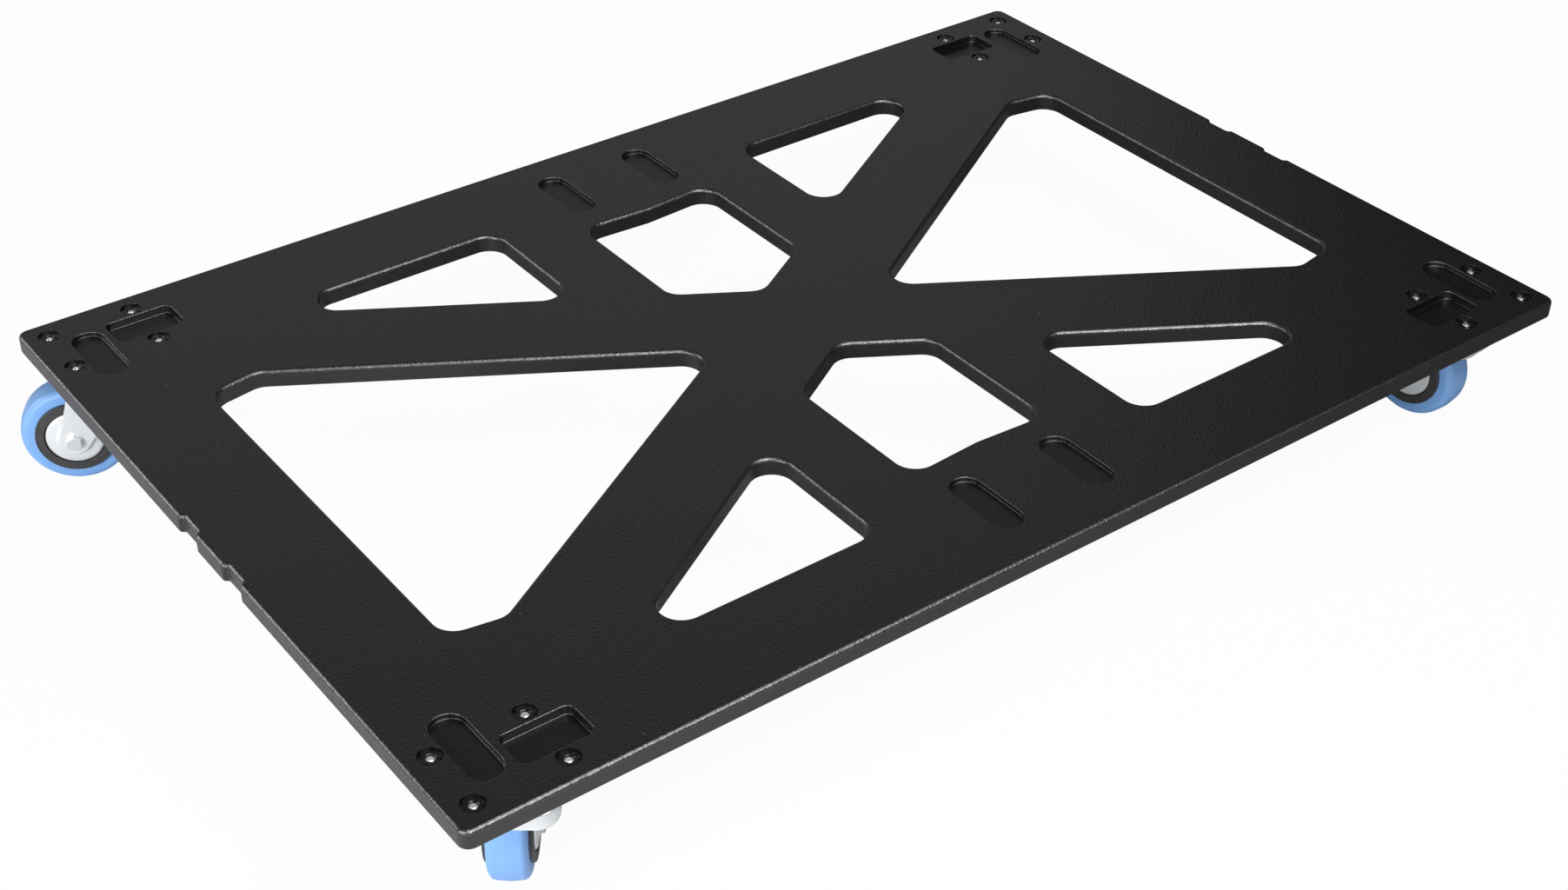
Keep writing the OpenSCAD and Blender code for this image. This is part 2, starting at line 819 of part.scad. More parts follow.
top_plate(front_left);  // top_plate_front_left
kingpin(front_left);  // kingpin_front_left
lower_race(front_left);  // lower_race_front_left
race_balls(front_left);  // race_balls_front_left
dust_ring(front_left);  // dust_ring_front_left
fork(front_left);  // fork_front_left
axle_bolt(front_left);  // axle_bolt_front_left
axle_nut(front_left);  // axle_nut_front_left
axle_sleeve(front_left);  // axle_sleeve_front_left
thread_guards(front_left);  // thread_guards_front_left
bearings(front_left);  // bearings_front_left
wheel_core(front_left);  // wheel_core_front_left
tyre(front_left);  // tyre_front_left

top_plate(front_right);  // top_plate_front_right
kingpin(front_right);  // kingpin_front_right
lower_race(front_right);  // lower_race_front_right
race_balls(front_right);  // race_balls_front_right
dust_ring(front_right);  // dust_ring_front_right
fork(front_right);  // fork_front_right
axle_bolt(front_right);  // axle_bolt_front_right
axle_nut(front_right);  // axle_nut_front_right
axle_sleeve(front_right);  // axle_sleeve_front_right
thread_guards(front_right);  // thread_guards_front_right
bearings(front_right);  // bearings_front_right
wheel_core(front_right);  // wheel_core_front_right
tyre(front_right);  // tyre_front_right

top_plate(rear_right);  // top_plate_rear_right
kingpin(rear_right);  // kingpin_rear_right
lower_race(rear_right);  // lower_race_rear_right
race_balls(rear_right);  // race_balls_rear_right
dust_ring(rear_right);  // dust_ring_rear_right
fork(rear_right);  // fork_rear_right
axle_bolt(rear_right);  // axle_bolt_rear_right
axle_nut(rear_right);  // axle_nut_rear_right
axle_sleeve(rear_right);  // axle_sleeve_rear_right
thread_guards(rear_right);  // thread_guards_rear_right
bearings(rear_right);  // bearings_rear_right
wheel_core(rear_right);  // wheel_core_rear_right
tyre(rear_right);  // tyre_rear_right
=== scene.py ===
"""Looks of the transport board: a painted plywood deck on four swivel casters.

Every piece stands in the row frame, in metres: the origin is the centre of the deck's top face,
X runs along the long side and Z points up. Sizes in this file are millimetres unless a name says so.
"""

import logging
import math
from dataclasses import dataclass, field
from enum import Enum, IntEnum
from typing import Callable, Iterable, Sequence

import bmesh
import bpy
from mathutils import Matrix, Vector
from mathutils.geometry import delaunay_2d_cdt

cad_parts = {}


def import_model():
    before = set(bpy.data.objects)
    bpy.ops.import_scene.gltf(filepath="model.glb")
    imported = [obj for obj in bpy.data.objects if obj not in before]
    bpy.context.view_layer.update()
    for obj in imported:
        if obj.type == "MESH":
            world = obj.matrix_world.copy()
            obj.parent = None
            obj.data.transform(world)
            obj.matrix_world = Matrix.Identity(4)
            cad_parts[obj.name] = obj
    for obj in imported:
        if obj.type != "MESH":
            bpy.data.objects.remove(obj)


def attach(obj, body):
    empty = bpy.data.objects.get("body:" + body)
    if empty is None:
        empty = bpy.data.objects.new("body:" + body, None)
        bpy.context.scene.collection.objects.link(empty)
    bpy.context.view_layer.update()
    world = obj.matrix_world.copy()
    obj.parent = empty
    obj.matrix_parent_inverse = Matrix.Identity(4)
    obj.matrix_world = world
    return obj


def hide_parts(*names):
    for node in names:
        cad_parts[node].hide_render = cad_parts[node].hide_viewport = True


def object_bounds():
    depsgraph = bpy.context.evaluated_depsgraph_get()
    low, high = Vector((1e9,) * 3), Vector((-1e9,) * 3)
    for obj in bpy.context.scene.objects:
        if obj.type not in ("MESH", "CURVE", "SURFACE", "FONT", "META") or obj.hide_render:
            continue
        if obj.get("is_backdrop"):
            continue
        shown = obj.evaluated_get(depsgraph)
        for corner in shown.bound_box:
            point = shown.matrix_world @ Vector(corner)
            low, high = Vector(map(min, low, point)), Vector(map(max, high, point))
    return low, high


log = logging.getLogger("board")

MM = 0.001
MM_PER_METRE = 1000.0
FULL_TURN = 2 * math.pi
WHITE = (1.0, 1.0, 1.0, 1.0)
Point2 = tuple[float, float]
Point3 = tuple[float, float, float]
Ring = list[bmesh.types.BMVert]
Socket = bpy.types.NodeSocket


# Node groups and finishes


class NodeBuilder:
    """Short calls for adding and joining shader or geometry nodes in one tree."""

    def __init__(self, tree: bpy.types.NodeTree) -> None:
        """Take the tree that the nodes go into."""
        self.tree = tree

    def add(
        self, kind: str, inputs: dict[str | int, object] | None = None, **properties: object
    ) -> bpy.types.Node:
        """Add a node.

        Args:
            kind: The node's type name.
            inputs: Value or source socket of each input, by its name or number.
            properties: Properties of the node, by name.

        Returns:
            The new node.
        """
        node = self.tree.nodes.new(kind)
        for name, value in properties.items():
            setattr(node, name, value)
        for name, value in (inputs or {}).items():
            if isinstance(value, Socket):
                self.tree.links.new(value, node.inputs[name])
            else:
                node.inputs[name].default_value = value
        return node

    def math(self, operation: str, a: object, b: object = 0.0) -> Socket:
        """Result of a math node on two values or sockets."""
        return self.add("ShaderNodeMath", {0: a, 1: b}, operation=operation).outputs[0]

    def mix(self, factor: object, a: object, b: object, blend_type: str = "MIX") -> Socket:
        """Result of mixing two colours or sockets."""
        inputs = {"Factor": factor, "A": a, "B": b}
        return self.add("ShaderNodeMix", inputs, data_type="RGBA", blend_type=blend_type).outputs["Result"]


class SharedGroup(NodeBuilder):
    """A shader node group with float inputs and one float output, placed by Object coordinates."""

    def __init__(self, name: str, inputs: dict[str, float]) -> None:
        """Start the group.

        Args:
            name: Name of the group.
            inputs: First value of each input, by its name.
        """
        super().__init__(bpy.data.node_groups.new(name, "ShaderNodeTree"))
        for label, value in inputs.items():
            socket = self.tree.interface.new_socket(label, in_out="INPUT", socket_type="NodeSocketFloat")
            socket.default_value = value
        self.given = self.add("NodeGroupInput").outputs
        self.place = self.add("ShaderNodeTexCoord").outputs["Object"]

    def finish(self, label: str, value: Socket) -> bpy.types.NodeTree:
        """End the group.

        Args:
            label: Name of the output.
            value: What the output gives.

        Returns:
            The finished group.
        """
        self.tree.interface.new_socket(label, in_out="OUTPUT", socket_type="NodeSocketFloat")
        self.add("NodeGroupOutput", {label: value})
        return self.tree


def grain_group(roughness: float = 0.55) -> bpy.types.NodeTree:
    """Fine relief of paint, plastic, rubber and plated sheet.

    Args:
        roughness: How strongly the finer octaves show.

    Returns:
        The group, which gives a height from 0 to 1.
    """
    group = SharedGroup("fine_grain", {"Cells per metre": 500.0, "Detail": 3.0})
    noise = group.add(
        "ShaderNodeTexNoise",
        {
            "Vector": group.place,
            "Scale": group.given["Cells per metre"],
            "Detail": group.given["Detail"],
            "Roughness": roughness,
        },
    )
    return group.finish("Height", noise.outputs["Fac"])


def drift_group(detail: float = 4.0) -> bpy.types.NodeTree:
    """Slow variation over a surface.

    Args:
        detail: Octaves of the noise.

    Returns:
        The group, which gives a value around 1.
    """
    group = SharedGroup("tone_drift", {"Cells per metre": 12.0, "Amount": 0.1})
    noise = group.add(
        "ShaderNodeTexNoise",
        {"Vector": group.place, "Scale": group.given["Cells per metre"], "Detail": detail},
    )
    centred = group.math("SUBTRACT", noise.outputs["Fac"], 0.5)
    scaled = group.math("MULTIPLY", centred, group.given["Amount"])
    return group.finish("Factor", group.math("ADD", group.math("MULTIPLY", scaled, 2.0), 1.0))


def fleck_and_glint_group() -> bpy.types.NodeTree:
    """Small scattered spots of another colour: specks, and pale painted glints.

    Returns:
        The group, which gives a mask from 0 to 1.
    """
    group = SharedGroup("flecks_and_glints", {"Cells per metre": 250.0, "Size": 0.2, "Share": 0.05})
    cells = group.add(
        "ShaderNodeTexVoronoi", {"Vector": group.place, "Scale": group.given["Cells per metre"]}, feature="F1"
    )
    near = group.math("LESS_THAN", cells.outputs["Distance"], group.given["Size"])
    parts = group.add("ShaderNodeSeparateColor", {"Color": cells.outputs["Color"]})
    chosen = group.math("LESS_THAN", parts.outputs["Red"], group.given["Share"])
    return group.finish("Mask", group.math("MULTIPLY", near, chosen))


class Groups:
    """The shader node groups that several finishes share, each built once."""

    def __init__(self) -> None:
        """Build the groups."""
        self.grain = grain_group()
        self.drift = drift_group()
        self.flecks_and_glints = fleck_and_glint_group()


def new_material(name: str) -> tuple[bpy.types.Material, NodeBuilder]:
    """Start a material with an empty node tree.

    Args:
        name: Name of the material.

    Returns:
        The material and a builder for its nodes.
    """
    material = bpy.data.materials.new(name)
    material.use_nodes = True
    material.node_tree.nodes.clear()
    return material, NodeBuilder(material.node_tree)


@dataclass(frozen=True)
class Finish:
    """One surface finish. Colours are linear, and lengths are in millimetres.

    The colour drifts slowly, the relief is a fine grain, and small spots of another colour are scattered over
    it; the pale spots of the deck's paint are painted glints.
    """

    name: str
    color: Point3
    roughness: float
    metallic: float = 0.0
    coat: float = 0.0
    coat_roughness: float = 0.15
    specular: float = 0.5
    grain_mm: float = 2.0
    grain_depth_mm: float = 0.1
    grain_detail: float = 3.0
    drift_mm: float = 80.0
    drift: float = 0.08
    rough_drift: float = 0.1
    fleck_and_glint_color: Point3 | None = None
    fleck_and_glint_mm: float = 4.0
    fleck_and_glint_size: float = 0.15
    fleck_and_glint_share: float = 0.04

    def _color(self, build: NodeBuilder, groups: Groups) -> Socket:
        """The finish's colour over the surface.

        Args:
            build: Builder of the material's nodes.
            groups: The shared node groups.

        Returns:
            The colour's socket.
        """
        slow = {"Cells per metre": MM_PER_METRE / self.drift_mm, "Amount": self.drift}
        drift = build.add("ShaderNodeGroup", slow, node_tree=groups.drift).outputs["Factor"]
        color = build.mix(1.0, (*self.color, 1.0), drift, "MULTIPLY")
        if self.fleck_and_glint_color is None:
            return color
        # Spots of another colour: darker specks on the tyre, and pale painted glints on the deck's paint.
        spots = {
            "Cells per metre": MM_PER_METRE / self.fleck_and_glint_mm,
            "Size": self.fleck_and_glint_size,
            "Share": self.fleck_and_glint_share,
        }
        mask = build.add("ShaderNodeGroup", spots, node_tree=groups.flecks_and_glints).outputs["Mask"]
        return build.mix(mask, color, (*self.fleck_and_glint_color, 1.0))

    def material(self, groups: Groups) -> bpy.types.Material:
        """Build the finish as a material.

        Args:
            groups: The shared node groups.

        Returns:
            The new material.
        """
        material, build = new_material(self.name)
        fine = {"Cells per metre": MM_PER_METRE / self.grain_mm, "Detail": self.grain_detail}
        grain = build.add("ShaderNodeGroup", fine, node_tree=groups.grain).outputs["Height"]
        spread = build.math("MULTIPLY", build.math("SUBTRACT", grain, 0.5), self.rough_drift)
        relief = {"Strength": 1.0, "Distance": self.grain_depth_mm * MM, "Height": grain}
        shader = build.add(
            "ShaderNodeBsdfPrincipled",
            {
                "Base Color": self._color(build, groups),
                "Metallic": self.metallic,
                "Roughness": build.math("ADD", spread, self.roughness),
                "Specular IOR Level": self.specular,
                "Coat Weight": self.coat,
                "Coat Roughness": self.coat_roughness,
                "Normal": build.add("ShaderNodeBump", relief).outputs["Normal"],
            },
        )
        build.add("ShaderNodeOutputMaterial", {"Surface": shader.outputs["BSDF"]})
        return material


class Slot(Enum):
    """The record's material slots."""

    DECK = "deck_paint"
    BLACK_STEEL = "black_steel"
    ZINC = "zinc"
    PALE_ZINC = "pale_zinc"
    BEARING_STEEL = "bearing_steel"
    DUST_RING = "dust_ring"
    CORE = "core"
    TYRE = "tyre"


FINISHES = {
    Slot.DECK: Finish(
        "structure_paint", (0.008, 0.008, 0.0083), 0.28, specular=0.6, grain_mm=2.8, grain_depth_mm=0.7,
        drift_mm=200.0, drift=0.12, rough_drift=0.15,
        # The pale spots are painted glints.
        fleck_and_glint_color=(0.3, 0.3, 0.3), fleck_and_glint_mm=5.0, fleck_and_glint_size=0.07, fleck_and_glint_share=0.02,
    ),
    Slot.BLACK_STEEL: Finish(
        "black_oxide", (0.032, 0.032, 0.033), 0.15, metallic=0.9, coat=0.35, grain_mm=3.0,
        grain_depth_mm=0.7, drift_mm=10.0, drift=0.3,
    ),
    Slot.ZINC: Finish(
        "bright_zinc", (0.86, 0.88, 0.9), 0.34, metallic=0.75, grain_mm=1.5, grain_depth_mm=0.02,
        drift_mm=15.0, drift=0.06,
    ),
    Slot.PALE_ZINC: Finish(
        "pale_zinc", (0.84, 0.865, 0.88), 0.38, metallic=0.3, grain_mm=3.0, grain_depth_mm=0.02,
        drift_mm=40.0, drift=0.04,
    ),
    Slot.BEARING_STEEL: Finish(
        "ground_steel", (0.55, 0.55, 0.57), 0.2, metallic=1.0, grain_mm=1.0, grain_depth_mm=0.01,
        drift_mm=20.0,
    ),
    Slot.DUST_RING: Finish(
        "dust_ring_plastic", (0.04, 0.04, 0.042), 0.5, grain_mm=0.8, grain_depth_mm=0.03,
    ),
    Slot.CORE: Finish(
        "moulded_nylon", (0.045, 0.045, 0.046), 0.45, grain_mm=0.7, grain_depth_mm=0.03,
        drift_mm=30.0, drift=0.15,
    ),
    Slot.TYRE: Finish(
        "blue_rubber", (0.22, 0.45, 0.87), 0.45, grain_mm=1.2, grain_depth_mm=0.04,
        drift_mm=60.0, drift=0.05, fleck_and_glint_color=(0.2, 0.4, 0.75), fleck_and_glint_mm=6.0, fleck_and_glint_size=0.1,
        fleck_and_glint_share=0.03,
    ),
}


class Paint(IntEnum):
    """Where the deck's paint differs, in the order of its mesh's materials. The pocket paint is darker, as
    painted shade, and the edge paint is lighter and more reflective, as a painted highlight.
    """

    TOP = 0
    POCKET_SHADE = 1
    EDGE = 2
    WALL = 3


DECK_PAINTS = {
    # Pockets, recesses and bores: darker, duller paint, which is painted shade.
    Paint.POCKET_SHADE: Finish(
        "pocket_shade_paint", (0.005, 0.005, 0.0052), 0.3, specular=0.45, grain_mm=2.2, grain_depth_mm=0.3,
        drift_mm=60.0, drift=0.15,
    ),
    # Round-overs and rims: a lighter, more reflective copy of the deck's paint, which is a painted highlight.
    Paint.EDGE: Finish(
        "edge_highlight_paint", (0.009, 0.009, 0.0093), 0.3, specular=1.0, grain_mm=2.2, grain_depth_mm=0.5,
        drift_mm=120.0, drift=0.12, rough_drift=0.15,
    ),
    Paint.WALL: Finish(
        "wall_paint", (0.008, 0.008, 0.0083), 0.36, specular=0.6, grain_mm=2.6, grain_depth_mm=0.18,
        drift_mm=120.0, drift=0.12,
    ),
}


# Outlines, profiles and meshes. Steps round an arc are in degrees.

ARC_STEP = 7.5
HOLE_STEP = 10.0
STEP_SLACK = 1e-6
FEWEST_POINTS = 12
SAME_POINT = 0.001
SHARP_DEGREES = 32.0


def polar(radius: float, angle: float, x: float = 0.0, y: float = 0.0) -> Point2:
    """Point at a radius and an angle, in radians, about x and y."""
    return x + radius * math.cos(angle), y + radius * math.sin(angle)


def circle(radius: float, count: int, x: float = 0.0, y: float = 0.0) -> list[Point2]:
    """Points at even steps round a circle about x and y."""
    return [polar(radius, FULL_TURN * k / count, x, y) for k in range(count)]


def four(x: float, y: float) -> list[Point2]:
    """Corners of a rectangle about the origin, from its half sides."""
    return [(sx * x, sy * y) for sx in (-1, 1) for sy in (-1, 1)]


@dataclass(frozen=True)
class Outline:
    """Closed outline of tangent arcs, anticlockwise: (x, y, radius), radius below zero to bow inwards."""

    arcs: tuple[Point3, ...]

    @staticmethod
    def rounded(corners: Sequence[Point2], radius: float) -> "Outline":
        """Round the corners of a convex polygon.

        Args:
            corners: The corners, anticlockwise.
            radius: Radius of every corner.

        Returns:
            The rounded outline.
        """
        arcs = []
        for index, corner in enumerate(corners):
            here = Vector(corner)
            back = (Vector(corners[index - 1]) - here).normalized()
            ahead = (Vector(corners[(index + 1) % len(corners)]) - here).normalized()
            half = back.angle(ahead) / 2
            centre = here + (back + ahead).normalized() * radius / math.sin(half)
            arcs.append((centre.x, centre.y, radius))
        return Outline(tuple(arcs))

    @staticmethod
    def rectangle(length: float, width: float, radius: float) -> "Outline":
        """Rectangle about the origin with rounded corners."""
        x, y = length / 2, width / 2
        return Outline.rounded([(x, -y), (x, y), (-x, y), (-x, -y)], radius)

    @staticmethod
    def circle(radius: float, x: float = 0.0, y: float = 0.0) -> "Outline":
        """Circle about x and y."""
        return Outline(((x, y, radius),))

    def moved(self, x: float, y: float) -> "Outline":
        """The outline moved by x and y."""
        return Outline(tuple((a + x, b + y, r) for a, b, r in self.arcs))

    def turned(self) -> "Outline":
        """The outline turned half round about the origin."""
        return Outline(tuple((-a, -b, r) for a, b, r in self.arcs))

    def mirrored(self) -> "Outline":
        """The outline mirrored left to right, still anticlockwise."""
        return Outline(tuple((-a, b, r) for a, b, r in reversed(self.arcs)))

    def points(self, grow: float = 0.0, step: float = ARC_STEP) -> list[Point2]:
        """Points along the outline.

        Args:
            grow: How far the outline moves outwards.
            step: Largest turn between two points of an arc, in degrees.

        Returns:
            The points, anticlockwise.
        """
        arcs = self.arcs
        if len(arcs) == 1:
            x, y, radius = arcs[0]
            return circle(radius + grow, max(FEWEST_POINTS, round(math.degrees(FULL_TURN) / step)), x, y)
        found = []
        for before, arc, after in zip(arcs[-1:] + arcs[:-1], arcs, arcs[1:] + arcs[:1]):
            x, y, radius = arc
            start, end = self._normal(before, arc), self._normal(arc, after)
            turn = (end - start) % FULL_TURN if radius > 0 else -((start - end) % FULL_TURN)
            steps = max(1, math.ceil(abs(math.degrees(turn)) / step - STEP_SLACK))
            found += [polar(radius + grow, start + turn * k / steps, x, y) for k in range(steps + 1)]
        return [p for k, p in enumerate(found) if math.dist(p, found[k - 1]) > SAME_POINT]

    @staticmethod
    def _normal(a: Point3, b: Point3) -> float:
        """Direction of the outward normal on the line that joins arc a to arc b.

        Args:
            a: The arc that the line leaves.
            b: The arc that the line reaches.

        Returns:
            The direction, in radians.
        """
        dx, dy = b[0] - a[0], b[1] - a[1]
        share = max(-1.0, min(1.0, (a[2] - b[2]) / math.hypot(dx, dy)))
        return math.atan2(dy, dx) - math.acos(share)


def quarter(radius: float, steps: int) -> list[Point2]:
    """Points on a quarter round, as (distance along the face, depth), from the face to the wall."""
    angles = [math.pi / 2 * k / steps for k in range(steps + 1)]
    return [(radius * math.sin(a), radius * (1 - math.cos(a))) for a in angles]


def fillet(points: Sequence[Point2], radius: float, steps: int = 4, closed: bool = True) -> list[Point2]:
    """Round the corners of a profile.

    Args:
        points: Corners of the profile.
        radius: Radius of each corner, cut down where an edge is short.
        steps: Facets on each corner.
        closed: Whether the last point joins the first.

    Returns:
        The rounded profile.
    """
    nearly_straight, edge_share = math.radians(88), 0.45
    found: list[Point2] = []
    for index, point in enumerate(points):
        here = Vector(point)
        to_back = Vector(points[index - 1]) - here
        to_ahead = Vector(points[(index + 1) % len(points)]) - here
        half = to_back.angle(to_ahead) / 2
        if half > nearly_straight or not closed and index in (0, len(points) - 1):
            found.append(point)
            continue
        cut = min(radius / math.tan(half), to_back.length * edge_share, to_ahead.length * edge_share)
        start, end = here + to_back.normalized() * cut, here + to_ahead.normalized() * cut
        for k in range(steps + 1):
            t = k / steps
            spot = start * (1 - t) ** 2 + here * 2 * t * (1 - t) + end * t**2
            found.append((spot.x, spot.y))
    return found


def flipped(profile: Sequence[Point2]) -> list[Point2]:
    """A profile mirrored in height, and run the other way."""
    return [(radius, -height) for radius, height in reversed(profile)]


def thread(start: float, pitch: float, turns: int, turn: Sequence[Point2]) -> list[Point2]:
    """Profile of a ridged thread, as (radius, height).

    Args:
        start: Height of its start.
        pitch: Height of one turn.
        turns: Number of turns.
        turn: (radius, share of the pitch) of each point of one turn.

    Returns:
        The profile's points, upwards.
    """
    return [(radius, start + (k + share) * pitch) for k in range(turns) for radius, share in turn]


class Facets(IntEnum):
    """How many faces go round a turned piece."""

    BOLT = 32
    SMALL = 48
    PIN = 64
    RING = 72
    DISC = 96
    CORE = 120
    TYRE = 144


class Shape:
    """Mesh under construction, in millimetres, from rings of points."""

    def __init__(self) -> None:
        """Start an empty mesh."""
        self.bm = bmesh.new()

    def ring(self, points: Iterable[Point2], height: float) -> Ring:
        """Add a ring of points at one height."""
        return [self.bm.verts.new((x, y, height)) for x, y in points]

    def bands(self, rings: Sequence[Ring], finishes: Sequence[int] = ()) -> None:
        """Add the bands of faces between rings that have the same number of points.

        Args:
            rings: The rings, in order.
            finishes: Which of the mesh's finishes each band takes, or nothing where all take the first.
        """
        for band, (low, high) in enumerate(zip(rings, rings[1:])):
            for k, corner in enumerate(low):
                j = (k + 1) % len(low)
                face = self.bm.faces.new((corner, low[j], high[j], high[k]))
                face.material_index = finishes[band] if finishes else 0

    def cap(self, ring: Ring, finish: int = 0) -> None:
        """Close a ring with one face, of the given one of the mesh's finishes."""
        self.bm.faces.new(ring).material_index = finish

    def solid(self, rings: Sequence[Ring]) -> None:
        """Add the bands between rings and close the first and the last one.

        Args:
            rings: The rings, in order.
        """
        self.bands(rings)
        self.cap(rings[0])
        self.cap(rings[-1])

    def loft(
        self, outline: Outline, levels: Sequence[Point2], step: float = ARC_STEP, finishes: Sequence[int] = ()
    ) -> tuple[Ring, Ring]:
        """Add bands through an outline.

        Args:
            outline: The outline.
            levels: (height, growth) of each ring.
            step: Largest turn between two points of an arc, in degrees.
            finishes: Which of the mesh's finishes each band takes, or nothing where all take the first.

        Returns:
            The first and the last ring.
        """
        rings = [self.ring(outline.points(grow, step), height) for height, grow in levels]
        self.bands(rings, finishes)
        return rings[0], rings[-1]

    def fill(self, rings: Sequence[Ring]) -> None:
        """Fill the flat region between an outer ring, the first one, and the rings of its holes.

        Args:
            rings: The outer ring, then one ring for each hole.
        """
        verts = [vertex for ring in rings for vertex in ring]
        edges: list[tuple[int, int]] = []
        for ring in rings:
            start, count = len(edges), len(ring)
            edges += [(start + k, start + (k + 1) % count) for k in range(count)]
        flat = [Vector((vertex.co.x, vertex.co.y)) for vertex in verts]
        inside_only, tolerance = 1, 1e-5
        _, _, faces, sources, _, _ = delaunay_2d_cdt(flat, edges, [], inside_only, tolerance)
        triangles = [[sources[k][0] for k in face] for face in faces]
        sides = [[frozenset((face[k - 1], face[k])) for k in range(3)] for face in triangles]
        beside: dict[frozenset[int], list[int]] = {}
        for index, triangle_sides in enumerate(sides):
            for side in triangle_sides:
                beside.setdefault(side, []).append(index)
        walls = {frozenset(edge) for edge in edges}
        todo = list(beside[frozenset(edges[0])])
        kept = set(todo)
        while todo:
            for side in sides[todo.pop()]:
                fresh = [] if side in walls else [other for other in beside[side] if other not in kept]
                kept.update(fresh)
                todo += fresh
        for index in sorted(kept):
            self.bm.faces.new([verts[k] for k in triangles[index]])

    def lathe(self, profile: Sequence[Point2], facets: int, closed: bool = True) -> "Shape":
        """Turn a profile of (radius, height) about Z.

        Args:
            profile: The profile's points.
            facets: Number of faces round the axis.
            closed: Whether the profile is a closed loop. An open one gets a cap at each end.

        Returns:
            The shape itself.
        """
        rings = [self.ring(circle(radius, facets), height) for radius, height in profile]
        if closed:
            self.bands([*rings, rings[0]])
        else:
            self.solid(rings)
        return self

    def hexagon(self, flats: float, low: float, high: float, chamfer_top: bool) -> "Shape":
        """Add a hexagon prism with a 30 degree chamfer at one end.

        Args:
            flats: Width across the flats.
            low: Lower height.
            high: Upper height.
            chamfer_top: Whether the upper end has the chamfer, and not the lower one.

        Returns:
            The shape itself.
        """
        count, sixth, face_share, chamfer_degrees = 48, math.pi / 3, 0.96, 30
        inner = flats / 2 * face_share
        slope = math.tan(math.radians(chamfer_degrees)) * (-1 if chamfer_top else 1)
        tip, base = (high, low) if chamfer_top else (low, high)
        face, chamfer, foot = [], [], []
        for k in range(count):
            angle = FULL_TURN * k / count
            reach = flats / 2 / math.cos((angle + sixth / 2) % sixth - sixth / 2)
            side = polar(reach, angle)
            face.append(self.bm.verts.new((*polar(inner, angle), tip)))
            chamfer.append(self.bm.verts.new((*side, tip + (reach - inner) * slope)))
            foot.append(self.bm.verts.new((*side, base)))
        self.solid([face, chamfer, foot])
        return self

    def add(self, other: "Shape", matrix: Matrix) -> None:
        """Add a copy of another shape, moved by a matrix.

        Args:
            other: The shape to copy.
            matrix: Where the copy goes.
        """
        mesh = bpy.data.meshes.new("part")
        other.bm.to_mesh(mesh)
        mesh.transform(matrix)
        self.bm.from_mesh(mesh)
        bpy.data.meshes.remove(mesh)

    def mesh(self, name: str, place: Matrix | None = None) -> bpy.types.Mesh:
        """Finish the mesh in metres with outward normals and smooth shading.

        Args:
            name: Name of the mesh.
            place: Matrix in millimetres that puts the shape in its place.

        Returns:
            The new mesh.
        """
        work = self.bm.copy()
        if place is not None:
            bmesh.ops.transform(work, matrix=place, verts=work.verts)
        bmesh.ops.scale(work, vec=(MM, MM, MM), verts=work.verts)
        bmesh.ops.recalc_face_normals(work, faces=work.faces)
        mesh = bpy.data.meshes.new(name)
        work.to_mesh(mesh)
        work.free()
        mesh.shade_smooth()
        mesh.set_sharp_from_angle(angle=math.radians(SHARP_DEGREES))
        return mesh


def tube(radii: Point2, heights: Point2, edge_r: float, facets: int, steps: int = 4) -> Shape:
    """A turned ring with rounded edges.

    Args:
        radii: Inner and outer radius.
        heights: Lower and upper height.
        edge_r: Radius of its edges.
        facets: Number of faces round the axis.
        steps: Facets on each edge.

    Returns:
        The ring.
    """
    (inner, outer), (low, high) = radii, heights
    corners = [(inner, low), (outer, low), (outer, high), (inner, high)]
    return Shape().lathe(fillet(corners, edge_r, steps), facets)


def two_sided(profile: Sequence[Point2], facets: int) -> Shape:
    """A turned profile and its mirror image in height, as one shape."""
    return Shape().lathe(profile, facets).lathe(flipped(profile), facets)


def in_metres(matrix: Matrix) -> Matrix:
    """A matrix in millimetres, with its translation turned into metres.

    Args:
        matrix: The matrix in millimetres.

    Returns:
        The matrix in metres.
    """
    changed = matrix.copy()
    changed.translation = matrix.translation * MM
    return changed


def new_object(name: str, mesh: bpy.types.Mesh) -> bpy.types.Object:
    """Make an object of a mesh and put it in the scene.

    Args:
        name: Name of the object.
        mesh: The mesh it shows.

    Returns:
        The new object.
    """
    obj = bpy.data.objects.new(name, mesh)
    bpy.context.scene.collection.objects.link(obj)
    return obj


def evaluated_mesh(obj: bpy.types.Object) -> bpy.types.Mesh:
    """The object's mesh with its modifiers applied, as a new plain mesh."""
    graph = bpy.context.evaluated_depsgraph_get()
    return bpy.data.meshes.new_from_object(obj.evaluated_get(graph), depsgraph=graph)


class Workshop:
    """Makes objects from meshes, gives them their finish and puts them on their body."""

    def __init__(self) -> None:
        """Build the shared groups and every finish."""
        groups = Groups()
        self.materials = {slot: finish.material(groups) for slot, finish in FINISHES.items()}
        self.deck_paints = {paint: finish.material(groups) for paint, finish in DECK_PAINTS.items()}
        self.deck_paints[Paint.TOP] = self.materials[Slot.DECK]

    def place(
        self, name: str, mesh: bpy.types.Mesh, slot: Slot, body: str, nodes: Sequence[str]
    ) -> bpy.types.Object:
        """Make the object of a mesh, with clean shading, and let it stand for its CAD nodes.

        Args:
            name: Name of the piece.
            mesh: Its mesh, in metres, in its place.
            slot: Its finish.
            body: The body it rides on.
            nodes: The CAD nodes it stands for.

        Returns:
            The new object.
        """
        obj = new_object(name, mesh)
        if not mesh.materials:
            mesh.materials.append(self.materials[slot])
        smooth = obj.modifiers.new("weighted_normals", "WEIGHTED_NORMAL")
        smooth.keep_sharp = True
        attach(obj, body)
        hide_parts(*nodes)
        log.info("%s: %d faces", name, len(mesh.polygons))
        return obj


# Repeats, made with geometry nodes


